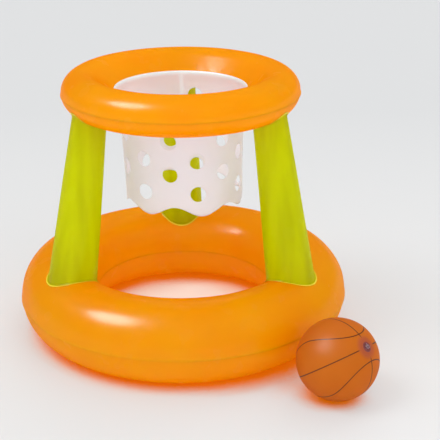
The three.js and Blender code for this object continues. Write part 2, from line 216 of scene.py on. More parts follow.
@dataclass(frozen=True)
class VinylFilm:
    """Calendered film of soft PVC, welded at radio frequency.

    The rolls that press it leave a smooth, faintly uneven skin, so its gloss is soft and
    wanders a little. Its pigment lets light through, so that it glows where it is backlit,
    and it is darker and ribbed where an electrode pressed two films together.
    """

    name: str
    colour: str
    streak: str
    glow: str
    deep: str
    weld: str
    passes: float
    weld_passes: float = 1.0
    roughness: float = 0.24
    refraction: float = 1.5
    level: float = 0.5
    streak_mm: float = 110.0
    streak_run: float = 1.0
    gloss_mm: float = 38.0
    peel_mm: float = 7.0
    peel_depth_mm: float = 0.012
    # The film's colour where a valve's flange lies under it: a deeper orange, painted shade for
    # the glow that the flange holds back
    seat: str = ""
    seat_passes: float = 0.3
    # The electrode's ribs are 1 mm apart, and are drawn 3 mm apart so that they show
    rib_mm: float = 3.0
    rib_depth_mm: float = 0.12
    # The part of a noise's range that its lightest and darkest places take
    streak_range: Span = (0.35, 0.7)
    gloss_range: Span = (0.3, 0.7)
    # How far the roughness wanders down and up
    gloss_wander: Span = (-0.04, 0.05)

    def streaked(self, tree: Tree, place: Socket) -> Socket:
        """Gives how far a point lies in one of the film's darker streaks.

        Args:
            tree: The node tree.
            place: The socket of the object's coordinates.

        Returns:
            The share's socket.
        """
        links = {0: place, 1: (1, 1, 1 / self.streak_run)}
        drawn = add(tree, "ShaderNodeVectorMath", links, operation="MULTIPLY")[0]
        links = {"Vector": drawn, "Scale": per_metre(self.streak_mm), "Detail": 2.0}
        links = dict(enumerate((add(tree, "ShaderNodeTexNoise", links)[0], *self.streak_range)))
        return add(tree, "ShaderNodeMapRange", links)[0]

    def layers(self, tree: Tree, place: Socket, weld: Socket) -> list[tuple[Socket, str, float]]:
        """Gives what changes the film's plain colour, from the lowest layer up.

        Args:
            tree: The node tree.
            place: The socket of the object's coordinates.
            weld: The socket of how far a point is welded.

        Returns:
            For each layer the socket of its share, its colour, and how much light it leaves.
        """
        found = [(weld, self.weld, self.weld_passes)]
        if self.seat:
            # Where the film lies on a valve's flange it takes the seat colour, which is painted
            # shade
            painted_seat_shade = add(tree, "ShaderNodeMapRange", {0: weld, 1: 1.0, 2: SEATED})[0]
            found.append((painted_seat_shade, self.seat, self.seat_passes))
        return found

    def relief(self, tree: Tree, place: Socket, weld: Socket) -> Socket:
        """Gives the fine relief of the film and of its welds.

        Args:
            tree: The node tree.
            place: The socket of the object's coordinates.
            weld: The socket of how far a point is welded.

        Returns:
            The normal's socket.
        """
        links = {"Vector": place, "Scale": per_metre(self.peel_mm), "Detail": 3.0}
        peel = add(tree, "ShaderNodeTexNoise", links)[0]
        links = {"Vector": place, "Scale": per_metre(self.rib_mm)}
        ribs = add(tree, "ShaderNodeTexVoronoi", links)[0]
        links = {0: peel, 1: self.peel_depth_mm * MM}
        peel_height = add(tree, "ShaderNodeMath", links, operation="MULTIPLY")[0]
        pressed = add(tree, "ShaderNodeMath", {0: weld, 1: 1.0}, operation="MINIMUM")[0]
        links = {0: ribs, 1: self.rib_depth_mm * MM}
        rib_height = add(tree, "ShaderNodeMath", links, operation="MULTIPLY")[0]
        links = {0: rib_height, 1: pressed, 2: peel_height}
        height = add(tree, "ShaderNodeMath", links, operation="MULTIPLY_ADD")[0]
        links = {"Height": height, "Distance": 1.0, "Strength": 1.0}
        return add(tree, "ShaderNodeBump", links)[0]

    def material(self) -> Material:
        """Makes the film's material.

        Returns:
            A glossy skin mixed with the light that passes through the film.
        """
        made = bpy.data.materials.new(self.name)
        tree = emptied(made)
        place = add(tree, "ShaderNodeTexCoord")["Object"]
        weld = add(tree, "ShaderNodeAttribute", attribute_name=WELD)["Fac"]
        streaks = self.streaked(tree, place)
        colour, through = (
            add(
                tree,
                "ShaderNodeMix",
                {0: streaks, 6: linear(light), 7: linear(dark)},
                data_type="RGBA",
            )[2]
            for light, dark in ((self.colour, self.streak), (self.glow, self.deep))
        )
        passes = self.passes
        for share, over, left in self.layers(tree, place, weld):
            links = {0: share, 6: colour, 7: linear(over)}
            colour = add(tree, "ShaderNodeMix", links, data_type="RGBA")[2]
            dimmed = add(tree, "ShaderNodeMapRange", {0: share, 3: 1.0, 4: left})[0]
            links = {0: passes, 1: dimmed}
            passes = add(tree, "ShaderNodeMath", links, operation="MULTIPLY")[0]
        links = {"Vector": place, "Scale": per_metre(self.gloss_mm), "Detail": 2.0}
        wander = add(tree, "ShaderNodeTexNoise", links)[0]
        spread = [self.roughness + step for step in self.gloss_wander]
        links = dict(enumerate((wander, *self.gloss_range, *spread)))
        links = {
            "Base Color": colour,
            "Roughness": add(tree, "ShaderNodeMapRange", links)[0],
            "IOR": self.refraction,
            "Specular IOR Level": self.level,
            "Normal": self.relief(tree, place, weld),
        }
        skin = add(tree, "ShaderNodeBsdfPrincipled", links)[0]
        glow = add(tree, "ShaderNodeBsdfTranslucent", {"Color": through})[0]
        mixed = add(tree, "ShaderNodeMixShader", {0: passes, 1: skin, 2: glow})[0]
        add(tree, "ShaderNodeOutputMaterial", {0: mixed})
        return made


@dataclass(frozen=True)
class PrintedFilm(VinylFilm):
    """Calendered PVC film screen-printed with the ribs of a basketball.

    The ink is thin and satin, so the orange wanders a little under it. The ribs are brown
    lines that stop short of the valve, where the film is left unprinted.
    """

    ink: str = "#552406"
    ink_passes: float = 0.2
    centre: Way = (0.0, 0.0, 0.0)
    turn: Way = (0.0, 0.0, 0.0)
    radius_mm: float = 76.0
    line_mm: float = 2.0
    # Where a rib's edge fades out and is full, as shares of half its width
    line_fade: Span = (1.25, 0.75)
    bare: str = "#b4705c"
    bare_mm: float = 17.0
    bare_part: float = 0.7
    # Where the bare film's colour sets in and is full, and where the ribs fade and end, as
    # shares of bare_mm
    bare_shares: Span = (1.4, 0.9)
    line_shares: Span = (1.35, 1.0)
    rib_angle: float = 58.5
    rib_swing: float = 11.5

    def round_valve(self, shares: Span) -> Span:
        """Turns shares of the bare film's radius into heights on a ball of radius 1."""
        first, second = (math.cos(share * self.bare_mm / self.radius_mm) for share in shares)
        return first, second

    def layers(self, tree: Tree, place: Socket, weld: Socket) -> list[tuple[Socket, str, float]]:
        """Adds the bare film round the valve, under the weld, and the ribs over it.

        Args:
            tree: The node tree.
            place: The socket of the object's coordinates.
            weld: The socket of how far a point is welded.

        Returns:
            For each layer the socket of its share, its colour, and how much light it leaves.
        """
        links = {0: place, 1: self.centre, 2: self.turn}
        centred = add(tree, "ShaderNodeMapping", links, vector_type="TEXTURE")[0]
        out = add(tree, "ShaderNodeVectorMath", {0: centred}, operation="NORMALIZE")[0]
        # Z runs through the valve, and the ball's radius is 1
        values = dict(zip("xyz", add(tree, "ShaderNodeSeparateXYZ", {0: out})))
        swing, angle = math.radians(self.rib_swing), math.radians(self.rib_angle)
        for name, operation, *terms in (
            ("yy", "MULTIPLY", "y", "y"),
            ("zz", "MULTIPLY", "z", "z"),
            ("apart", "SUBTRACT", "zz", "yy"),
            ("both", "ADD", "zz", "yy"),
            ("some", "MAXIMUM", "both", 0.001),
            ("tilt", "DIVIDE", "apart", "some"),
            ("rib", "MULTIPLY_ADD", "tilt", swing, angle),
            ("off_x", "ABSOLUTE", "x"),
            ("off_y", "ABSOLUTE", "y"),
            ("side", "ARCCOSINE", "off_x"),
            ("beside", "SUBTRACT", "side", "rib"),
            ("off_rib", "ABSOLUTE", "beside"),
            ("off_straight", "MINIMUM", "off_x", "off_y"),
            ("off_line", "MINIMUM", "off_straight", "off_rib"),
        ):
            links = {i: values.get(term, term) for i, term in enumerate(terms)}
            values[name] = add(tree, "ShaderNodeMath", links, operation=operation)[0]
        half = self.line_mm / self.radius_mm / 2
        line, printed, bare = (
            add(tree, "ShaderNodeMapRange", dict(enumerate(steps)))[0]
            for steps in (
                (values["off_line"], *(half * share for share in self.line_fade)),
                (values["z"], *self.round_valve(self.line_shares), 1.0, 0.0),
                (values["z"], *self.round_valve(self.bare_shares), 0.0, self.bare_part),
            )
        )
        ribs = add(tree, "ShaderNodeMath", {0: line, 1: printed}, operation="MULTIPLY")[0]
        welded = super().layers(tree, place, weld)
        return [(bare, self.bare, 1.0), *welded, (ribs, self.ink, self.ink_passes)]


@dataclass(frozen=True)
class MouldedVinyl:
    """Injection-moulded clear soft PVC.

    It is glassy and slightly violet, with a fine satin from its mould and a haze that
    thickens and thins through it.
    """

    name: str
    colour: str
    haze: str
    roughness: float = 0.18
    transmission: float = 0.75
    refraction: float = 1.53
    haze_mm: float = 4.0
    # A mould's grain is finer, and is drawn this coarse so that it shows
    satin_mm: float = 1.5
    satin_depth_mm: float = 0.01
    haze_range: Span = (0.35, 0.65)
    # How far the roughness wanders down and up
    satin_wander: Span = (-0.05, 0.08)

    def material(self) -> Material:
        """Makes the moulding's material.

        Returns:
            A clear material with a haze in it and a fine satin on it.
        """
        made = bpy.data.materials.new(self.name)
        tree = emptied(made)
        place = add(tree, "ShaderNodeTexCoord")["Object"]
        haze, satin = (
            add(
                tree,
                "ShaderNodeTexNoise",
                {"Vector": place, "Scale": per_metre(size), "Detail": 2.0},
            )[0]
            for size in (self.haze_mm, self.satin_mm)
        )
        spread = [self.roughness + step for step in self.satin_wander]
        share, rough = (
            add(tree, "ShaderNodeMapRange", dict(enumerate((haze, *self.haze_range, *to))))[0]
            for to in ((0.0, 1.0), spread)
        )
        links = {0: share, 6: linear(self.colour), 7: linear(self.haze)}
        colour = add(tree, "ShaderNodeMix", links, data_type="RGBA")[2]
        links = {"Height": satin, "Distance": self.satin_depth_mm * MM, "Strength": 1.0}
        links = {
            "Base Color": colour,
            "Roughness": rough,
            "IOR": self.refraction,
            "Transmission Weight": self.transmission,
            "Normal": add(tree, "ShaderNodeBump", links)[0],
        }
        clear = add(tree, "ShaderNodeBsdfPrincipled", links)[0]
        add(tree, "ShaderNodeOutputMaterial", {0: clear})
        return made


class Slot(Enum):
    """The record's material slots."""

    ORANGE = "orange_film"
    LIME = "lime_film"
    MILKY = "milky_film"
    BALL = "ball_film"
    CLEAR = "clear_vinyl"


# Making pieces


def face_outwards(mesh: Mesh, outside: Callable[[Vector], Vector]) -> None:
    """Turns every face of an open film outwards.

    Args:
        mesh: The film.
        outside: Gives the outward direction at a place.
    """
    bmesh.ops.recalc_face_normals(mesh, faces=mesh.faces)
    mesh.normal_update()
    votes = sum(
        face.normal.dot(outside(face.calc_center_median())) * face.calc_area()
        for face in mesh.faces
    )
    if votes < 0:
        bmesh.ops.reverse_faces(mesh, faces=mesh.faces)
        mesh.normal_update()


def loop_edges(verts: Iterable[Vert]) -> list[Edge]:
    """Gives the edges whose two ends are both among some vertices.

    Args:
        verts: The vertices.

    Returns:
        The edges, in a steady order.
    """
    chosen = set(verts)
    edges = {e for v in chosen for e in v.link_edges if e.other_vert(v) in chosen}
    return sorted(edges, key=lambda e: e.index)


def open_loop(mesh: Mesh, place: Vector) -> list[Edge]:
    """Finds an open edge of a film.

    Args:
        mesh: The film.
        place: A place beside the open edge.

    Returns:
        Every edge of the open loop that passes nearest to the place.
    """
    open_edges = [e for e in mesh.edges if e.is_boundary]
    found = {min(open_edges, key=lambda e: (e.verts[0].co - place).length)}
    ahead = set(found)
    while ahead:
        beside = {e for seen in ahead for v in seen.verts for e in v.link_edges if e.is_boundary}
        ahead = beside - found
        found |= ahead
    mesh.edges.index_update()
    return sorted(found, key=lambda e: e.index)


def spun(section: list[Vector], steps: int, closed: bool = False) -> Mesh:
    """Spins a section round +Z.

    Args:
        section: Its points as reach and height, in metres.
        steps: How many steps go round.
        closed: Whether the section's last point joins its first.

    Returns:
        The spun surface.
    """
    mesh = bmesh.new()
    verts = [mesh.verts.new((p.x, 0, p.y)) for p in section]
    pairs = list(zip(verts, verts[1:]))
    if closed:
        pairs.append((verts[-1], verts[0]))
    edges = [mesh.edges.new(pair) for pair in pairs]
    bmesh.ops.spin(
        mesh,
        geom=[*verts, *edges],
        cent=(0, 0, 0),
        axis=(0, 0, 1),
        dvec=(0, 0, 0),
        angle=FULL_TURN,
        steps=steps,
        use_merge=True,
        use_duplicate=False,
    )
    bmesh.ops.remove_doubles(mesh, verts=mesh.verts, dist=0.001 * MM)
    bmesh.ops.recalc_face_normals(mesh, faces=mesh.faces)
    return mesh


def linked(name: str, data: object) -> Piece:
    """Makes an object and links it into the scene.

    Args:
        name: The object's name.
        data: Its mesh, lamp or camera.

    Returns:
        The object.
    """
    made = bpy.data.objects.new(name, data)
    bpy.context.scene.collection.objects.link(made)
    return made


def finished(mesh: Mesh, name: str, material: Material) -> Piece:
    """Makes an object of a mesh.

    Args:
        mesh: The mesh, which is used up.
        name: The object's name.
        material: What it is made of.

    Returns:
        The object.
    """
    data = bpy.data.meshes.new(name)
    mesh.to_mesh(data)
    mesh.free()
    data.materials.append(material)
    return linked(name, data)


def thicken(made: Piece, wall: float, offset: float) -> None:
    """Gives a film its thickness.

    Args:
        made: The film, as a surface.
        wall: Its thickness in millimetres.
        offset: Where the surface lies in it, -1 at its outer face and 0 in its middle.
    """
    film = made.modifiers.new("film", "SOLIDIFY")
    film.thickness = wall * MM
    film.offset = offset


@dataclass
class SubAssembly:
    """A group of pieces that share a body and the finishes."""

    finishes: dict[Slot, Material]
    body: str = "hoop"

    def keep(
        self,
        mesh: Mesh,
        name: str,
        slot: Slot,
        nodes: Iterable[str],
        wall: float = 0.0,
        body: str | None = None,
        sharp_over: float = 40.0,
    ) -> Piece:
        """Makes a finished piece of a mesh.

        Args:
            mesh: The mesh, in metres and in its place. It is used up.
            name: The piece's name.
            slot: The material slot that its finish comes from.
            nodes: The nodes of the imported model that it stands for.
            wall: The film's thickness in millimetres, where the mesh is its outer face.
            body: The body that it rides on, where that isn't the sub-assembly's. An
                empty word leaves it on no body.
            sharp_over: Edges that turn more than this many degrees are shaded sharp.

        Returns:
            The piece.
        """
        for edge in mesh.edges:
            edge.smooth = edge.calc_face_angle(0.0) < math.radians(sharp_over)
        for face in mesh.faces:
            face.smooth = True
        made = finished(mesh, name, self.finishes[slot])
        if wall:
            thicken(made, wall, -1)
        rides_on = self.body if body is None else body
        if rides_on:
            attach(made, rides_on)
        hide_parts(*nodes)
        count = len(made.data.polygons)
        LOG.info("%s: %d faces, rides on %s", name, count, rides_on or "two bodies")
        return made


# Valves


@dataclass(frozen=True)
class ValveSizes:
    """The sizes of a push-in stem valve, in millimetres: a ring's, where no others are given."""

    flange_width: float = 30.0
    flange_wall: float = 0.8
    collar_wall: float = 1.2
    collar_depth: float = 6.0
    collar_rise: float = 1.0
    stem_width: float = 8.8
    stem_bore: float = 6.4
    stem_travel: float = 8.0
    rim_width: float = 12.0
    rim_wall: float = 1.0
    lip_width: float = 11.2
    lip_wall: float = 1.0
    flap_wall: float = 0.4
    plug_head_width: float = 11.2
    plug_head_wall: float = 1.4
    plug_stub_length: float = 3.5
    plug_taper: float = 0.8
    tab_reach: float = 9.0
    tab_width: float = 3.0

    @property
    def collar_bore(self) -> float:
        """The inner radius of the collar."""
        return self.stem_width / 2 + SEAT_GAP

    @property
    def collar_radius(self) -> float:
        """The outer radius of the collar."""
        return self.collar_bore + self.collar_wall

    @property
    def rim_low(self) -> float:
        """The height of the stem's rim above the film."""
        return self.collar_rise + SEAT_GAP

    @property
    def rim_high(self) -> float:
        """The height of the top of the stem's rim."""
        return self.rim_low + self.rim_wall

    @property
    def lip_low(self) -> float:
        """The height of the stem's inner end."""
        return -(self.collar_depth + SEAT_GAP + self.stem_travel + self.lip_wall)


RING_VALVE = ValveSizes()
BALL_VALVE = ValveSizes(
    flange_width=19.0,
    flange_wall=0.6,
    collar_wall=0.9,
    collar_depth=4.5,
    collar_rise=0.6,
    stem_width=6.4,
    stem_bore=4.4,
    stem_travel=6.0,
    rim_width=9.0,
    rim_wall=0.8,
    lip_width=8.4,
    lip_wall=0.8,
    plug_head_width=8.4,
    plug_head_wall=1.1,
    plug_stub_length=2.6,
    plug_taper=0.6,
    tab_reach=6.8,
    tab_width=2.4,
)


@dataclass
class Valve(SubAssembly):
    """A moulded valve: its seat in the film, a push-in stem with a flap, and a stopper."""

    name: str = "base"
    sizes: ValveSizes = RING_VALVE
    place: Matrix = field(default_factory=Matrix.Identity)
    bend: Bend = lambda x, y: 0.0
    steps: int = 48
    edge: float = 0.18
    sharp_over: float = 60.0
    strap_wall: float = 0.8
    strap_lap: float = 0.6
    strap_steps: int = 4
    fold_steps: int = 12
    welded: float = SEATED
    # How far round the flange and how deep the film is cut out and made anew
    clear_round: float = 2.8
    clear_depth: float = 25.0
    # How deep the flap domes half way out and at its middle, in flap walls
    dome: Span = (1.4, 1.6)
    # The thumb dish from its rim in: the share of the head's radius, and how deep it is there
    # as a share of the head's wall
    dish: tuple[Span, ...] = ((0.72, 0.0), (0.6, 0.3), (0.0, 0.35))
    # The rings of film round the valve from outside in: how far each lies inwards from the
    # flange's edge (0) to the collar's (1), how far outside that, its lift and its weld
    film_rings: tuple[tuple[float, ...], ...] = (
        (0.0, 1.2, 0.0, 0.0),
        (0.0, 0.3, 0.0, 0.0),
        (0.0, -0.4, 0.45, 1.0),
        (0.0, -1.4, 0.5, 1.0),
        (0.5, 0.0, 0.45, 1.0),
        (1.0, 1.2, 0.3, 1.0),
        (1.0, SEAT_GAP, 0.1, 1.0),
    )

    def moulded(self, outline: list[Span], closed: bool = True) -> Mesh:
        """Spins an outline and rounds its edges.

        Args:
            outline: Its corners as radius and height, in millimetres.
            closed: Whether the last corner joins the first. An outline that starts and ends
                on the axis is left open, and its poles close as it is spun.

        Returns:
            The moulding, upright about +Z.
        """
        section = [Vector((r * MM, h * MM)) for r, h in outline]
        mesh = spun(section, self.steps, closed=closed)
        sharp = math.radians(self.sharp_over)
        bmesh.ops.bevel(
            mesh,
            geom=[e for e in mesh.edges if e.calc_face_angle(0.0) > sharp],
            offset=self.edge * MM,
            offset_type="OFFSET",
            segments=2,
            profile=0.5,
            affect="EDGES",
            material=-1,
            clamp_overlap=True,
        )
        bmesh.ops.recalc_face_normals(mesh, faces=mesh.faces)
        return mesh

    def settle(self, mesh: Mesh, words: str, node: str, body: str | None = None) -> Piece:
        """Puts a moulding on its film and keeps it.

        Args:
            mesh: The moulding, upright about +Z.
            words: What the piece is called after the valve's name.
            node: The last word of the node that it stands for.
            body: The body that it rides on.

        Returns:
            The piece.
        """
        bmesh.ops.transform(mesh, matrix=self.place, verts=mesh.verts)
        name = f"{self.name}_valve_"
        return self.keep(mesh, name + words, Slot.CLEAR, [name + node], body=body)

    def seat(self) -> None:
        """Makes the flange that is welded under the film, with its collar."""
        v = self.sizes
        top = -(FILM_WALL + SEAT_GAP)
        mesh = self.moulded(
            [
                (v.collar_bore, -v.collar_depth),
                (v.collar_radius, -v.collar_depth),
                (v.collar_radius, top - v.flange_wall),
                (v.flange_width / 4 + v.collar_radius / 2, top - v.flange_wall),
                (v.flange_width / 2, top - v.flange_wall),
                (v.flange_width / 2, top),
                (v.flange_width / 4 + v.collar_radius / 2, top),
                (v.collar_radius, top),
                (v.collar_radius, v.collar_rise),
                (v.collar_bore, v.collar_rise),
            ]
        )
        for vert in mesh.verts:
            outer = eased(v.collar_radius * MM, v.flange_width / 2 * MM, vert.co.xy.length)
            if outer > 0:
                vert.co.z += self.bend(vert.co.x, vert.co.y)
        self.settle(mesh, "seat", "flange")

    def stem(self) -> None:
        """Makes the stem that the user blows into, with its rim and its inner lip."""
        v = self.sizes
        bore, out = v.stem_bore / 2, v.stem_width / 2
        lip_high = v.lip_low + v.lip_wall
        mesh = self.moulded(
            [
                (bore, v.lip_low),
                (v.lip_width / 2, v.lip_low),
                (v.lip_width / 2, lip_high),
                (out, lip_high),
                (out, v.rim_low),
                (v.rim_width / 2, v.rim_low),
                (v.rim_width / 2, v.rim_high),
                (bore, v.rim_high),
            ]
        )
        self.settle(mesh, "throat", "stem", f"{self.name}_stem")

    def flap(self) -> None:
        """Makes the one-way flap, a soft disc that domes into the air chamber."""
        v = self.sizes
        top, out = v.lip_low - SEAT_GAP, v.stem_width / 2
        half_way, middle = (top - share * v.flap_wall for share in self.dome)
        mesh = self.moulded(
            [
                (0, top),
                (out / 2, top),
                (out, top),
                (out, top - v.flap_wall),
                (out / 2, half_way),
                (0, middle),
            ],
            closed=False,
        )
        self.settle(mesh, "diaphragm", "flap", f"{self.name}_stem")

    def stopper(self) -> None:
        """Makes the stopper, with a tapered stub and a shallow thumb dish in its head."""
        v = self.sizes
        low = v.rim_high + SEAT_GAP
        high, out = low + v.plug_head_wall, v.plug_head_width / 2
        stub = v.stem_bore / 2 - SEAT_GAP
        tip = low - v.plug_stub_length
        mesh = self.moulded(
            [
                (0, tip),
                (stub - v.plug_taper / 2, tip),
                (stub, low),
                (out, low),
                (out, high),
                *((share * out, high - sunk * v.plug_head_wall) for share, sunk in self.dish),
            ],
            closed=False,
        )
        self.settle(mesh, "stopper", "plug", f"{self.name}_plug")

    def strap(self) -> None:
        """Makes the strap that folds back on itself and holds the stopper to the stem."""
        v = self.sizes
        low = v.rim_low + v.rim_wall / 2
        high = v.rim_high + SEAT_GAP + v.rim_wall / 2
        middle, fold = (low + high) / 2, (high - low) / 2
        near, far = (width / 2 - self.strap_lap for width in (v.rim_width, v.plug_head_width))
        turn = v.tab_reach - fold - self.strap_wall / 2
        shares = [i / self.strap_steps for i in range(self.strap_steps + 1)]
        line = [Vector((near + (turn - near) * share, low)) for share in shares]
        for i in range(1, self.fold_steps):
            angle = math.pi * (i / self.fold_steps - 0.5)
            line.append(Vector((turn + fold * math.cos(angle), middle + fold * math.sin(angle))))
        line += [Vector((turn + (far - turn) * share, high)) for share in shares]
        mesh = bmesh.new()
        half_width = v.tab_width / 2 * MM
        verts = [mesh.verts.new((-half_width, p.x * MM, p.y * MM)) for p in line]
        edges = [mesh.edges.new(pair) for pair in zip(verts, verts[1:])]
        for _ in range(self.strap_steps):
            grown = bmesh.ops.extrude_edge_only(mesh, edges=edges)["geom"]
            verts = [g for g in grown if isinstance(g, Vert)]
            edges = [g for g in grown if isinstance(g, Edge)]
            edges = [e for e in edges if e.verts[0] in verts and e.verts[1] in verts]
            step = 2 * half_width / self.strap_steps
            bmesh.ops.translate(mesh, vec=(step, 0, 0), verts=verts)
        bmesh.ops.recalc_face_normals(mesh, faces=mesh.faces)
        bmesh.ops.transform(mesh, matrix=self.place, verts=mesh.verts)
        made = self.keep(mesh, f"{self.name}_valve_strap", Slot.CLEAR, [], body="")
        thicken(made, self.strap_wall, 0)
        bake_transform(made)

    def open_film(self, mesh: Mesh) -> None:
        """Opens a film for the collar, and raises it over the flange that is welded under it.

        Args:
            mesh: The film, in its place.
        """
        v = self.sizes
        back = self.place.inverted()
        flange = v.flange_width / 2
        clear, depth = (flange + self.clear_round) * MM, self.clear_depth * MM
        layer = mesh.verts.layers.float.get(WELD) or mesh.verts.layers.float.new(WELD)
        local = {vert: back @ vert.co for vert in mesh.verts}
        near = [p for p, q in local.items() if q.xy.length < clear and abs(q.z) < depth]
        bmesh.ops.delete(mesh, geom=near, context="VERTS")
        rim = open_loop(mesh, self.place.translation)
        count = len(rim)
        for inwards, extra, lift, welded in self.film_rings:
            radius = flange + (v.collar_radius - flange) * inwards + extra
            ring = bmesh.ops.create_circle(mesh, segments=count, radius=radius * MM)["verts"]
            for vert in ring:
                vert.co.z = self.bend(vert.co.x, vert.co.y) + lift * MM
                vert[layer] = self.welded * welded
            bmesh.ops.transform(mesh, matrix=self.place, verts=ring)
            mesh.edges.index_update()
            edges = loop_edges(ring)
            bmesh.ops.bridge_loops(mesh, edges=[*rim, *edges])
            rim = edges

    def build(self) -> None:
        """Makes every piece of the valve."""
        self.seat()
        self.stem()
        self.flap()
        self.stopper()
        self.strap()


# Rings


class Half(Enum):
    """The two films of a ring: the one above its seam and the one below."""

    UPPER = 1
    LOWER = -1


@dataclass
class InflatedRing(SubAssembly):
    """A ring of two films welded along their outer and inner edges, and blown up."""

    name: str = "base_ring"
    centre: Vector = field(default_factory=Vector)
    seam_height: float = 79.0
    tube_reach: float = 254.0
    tube_width: float = 152.0
    tube_height: float = 158.0
    inner_span: float = 76.0
    outer_weld: float = 5.0
    inner_weld: float = 2.0
    valve_bearing: float = 150.0
    valve_rise: float = 37.5
    steps: int = 384
    arc_steps: int = 44
    start: float = 2.2
    edge: float = 0.35
    outer_droop: float = 76.0
    inner_droop: float = 70.0
    pucker: float = 0.4
    pucker_length: float = 21.0
    pucker_reach: float = 16.0
    bulge: float = 0.5
    seed: float = 1.7
    weld_corner: float = 1.8
    weld_corner_share: float = 0.6
    corner_steps: int = 4
    # How far from the seam, in millimetres, the weld's own wave dies out, and where the
    # puckers and the slow bulges set in and are full
    weld_reach: float = 5.0
    pucker_sets_in: Span = (0.5, 6.0)
    bulge_sets_in: Span = (2.0, 20.0)
    # How wide the slow bulges are round the ring and up it
    bulge_size: Span = (90.0, 60.0)
    # How far inside its seam, in millimetres, the weld starts to show and is full
    weld_edge: Span = (0.2, -0.9)
    # What the seed of a film's own puckers differs by from the weld's, up or down
    film_seed: float = 7.0
    # How far on its own side of the seam a film's edge counts as lying, in millimetres
    own_side: float = 2.0
    off_ground: float = 0.1 * FILM_WALL

    def half_section(self) -> list[Vector]:
        """Gives the upper film from the outer seam to the inner seam, without its welds.

        Returns:
            Its points as reach and height above the seam, in millimetres.
        """
        raise NotImplementedError

    def rise(self, reach: float, offset: float) -> float:
        """Gives how high the tube's surface stands over the seam.

        Args:
            reach: The distance from the ring's axis, in millimetres.
            offset: How far the surface is moved outwards.

        Returns:
            The height in millimetres, and 0 past the tube's side.
        """
        raise NotImplementedError

    def pressed(self, height: float) -> float:
        """Gives the height of a point of the lower film, where the ring may stand on it."""
        return height

    @property
    def outer_seam(self) -> float:
        """The reach of the outer seam."""
        return self.tube_reach + self.tube_width / 2

    @property
    def inner_seam(self) -> float:
        """The reach of the inner seam."""
        return self.tube_reach - self.inner_span

    def welded_section(self) -> list[Vector]:
        """Adds the flat welds and their soft corners to the section.

        Returns:
            Its points as reach and height above the seam, in millimetres.
        """
        section = self.half_section()

        def weld(seam: float, away: float, width: float, end: Vector) -> list[Vector]:
            """Gives a weld and its corner.

            Args:
                seam: The reach of its seam.
                away: 1 where it lies outside the seam and -1 where it lies inside.
                width: How wide it is.
                end: The end of the section that it runs into.

            Returns:
                Its points from its edge on, without the section's end.
            """
            corner = min(self.weld_corner, self.weld_corner_share * width)
            flat = [
                Vector((seam + away * reach, FILM_WALL))
                for reach in (width, width - self.edge, (width + corner) / 2)
            ]
            start, bend = Vector((seam + away * corner, FILM_WALL)), Vector((seam, FILM_WALL))
            turn = soft_corner(start, bend, end, self.corner_steps)
            return flat + turn[:-1]

        out = self.outer_weld * math.cos(math.radians(self.outer_droop))
        back = self.inner_weld * math.cos(math.radians(self.inner_droop))
        outer = weld(self.outer_seam, 1, out, section[0])
        inner = weld(self.inner_seam, -1, back, section[-1])
        return outer + section + inner[::-1]

    def spacing(self, reach: float) -> float:
        """Gives how far a reach lies inside the nearer seam, negative on a weld."""
        return min(self.outer_seam - reach, reach - self.inner_seam)

    def lifted(self, reach: float, height: float, angle: float) -> Span:
        """Gives how far the welds' puckers and the film's unevenness move a point.

        Args:
            reach: The distance from the ring's axis, in millimetres.
            height: The height above the seam.
            angle: Where on the ring, in radians.

        Returns:
            How far it moves up, with both films, and how far outwards, in millimetres.
        """
        per_turn = FULL_TURN * reach / self.pucker_length
        away = abs(height)
        wave = self.pucker * ripple(angle, per_turn, self.seed)
        up = wave * math.exp(-away / self.weld_reach)
        folds = ripple(angle, per_turn, self.seed + math.copysign(self.film_seed, height))
        out = self.pucker * folds * math.exp(-away / self.pucker_reach)
        out *= eased(*self.pucker_sets_in, away)
        along, upwards = self.bulge_size
        wide = turned(reach / along, angle, height / upwards) + Vector((0, 0, self.seed))
        out += self.bulge * noise.noise(wide) * eased(*self.bulge_sets_in, away)
        return up, out

    def shaped(self, mesh: Mesh, half: Half) -> None:
        """Puckers a spun film along its welds and says where it is welded.

        Args:
            mesh: The film about +Z, its seam at its real height.
            half: Which of the two films it is.
        """
        mesh.normal_update()
        layer = mesh.verts.layers.float.new(WELD)
        moves = []
        for vert in mesh.verts:
            reach, angle = vert.co.xy.length / MM, math.atan2(vert.co.y, vert.co.x)
            height = vert.co.z / MM - self.seam_height
            vert[layer] = eased(*self.weld_edge, self.spacing(reach))
            up, out = self.lifted(reach, height, angle)
            moves.append(vert.normal * (out * MM) + Vector((0, 0, up * MM)))
        for vert, move in zip(mesh.verts, moves):
            vert.co += move
            if half is Half.LOWER:
                vert.co.z = max(vert.co.z, self.off_ground * MM)

    def film(self, half: Half) -> Mesh:
        """Makes one of the ring's films.

        Args:
            half: Which of the two films.

        Returns:
            The film's outer face, in its place.
        """
        section = self.welded_section()
        if half is Half.LOWER:
            section = [Vector((p.x, self.pressed(-p.y))) for p in section]
        outer = math.tan(math.radians(self.outer_droop))
        inner = math.tan(math.radians(self.inner_droop))
        for p in section:
            p.y -= outer * max(p.x - self.outer_seam, 0)
            p.y -= inner * max(self.inner_seam - p.x, 0)
        mesh = spun([Vector((p.x, p.y + self.seam_height)) * MM for p in section], self.steps)
        seam = (self.seam_height - self.own_side * half.value) * MM

        def outside(place: Vector) -> Vector:
            """Gives the way from the middle of the tube to a place.

            Args:
                place: The place, in metres.

            Returns:
                The way, of any length.
            """
            reach = place.xy.length - self.tube_reach * MM
            out = Vector((place.x, place.y, 0)).normalized() * reach
            return out + Vector((0, 0, place.z - seam))

        face_outwards(mesh, outside)
        self.shaped(mesh, half)
        bmesh.ops.translate(mesh, vec=self.centre, verts=mesh.verts)
        return mesh

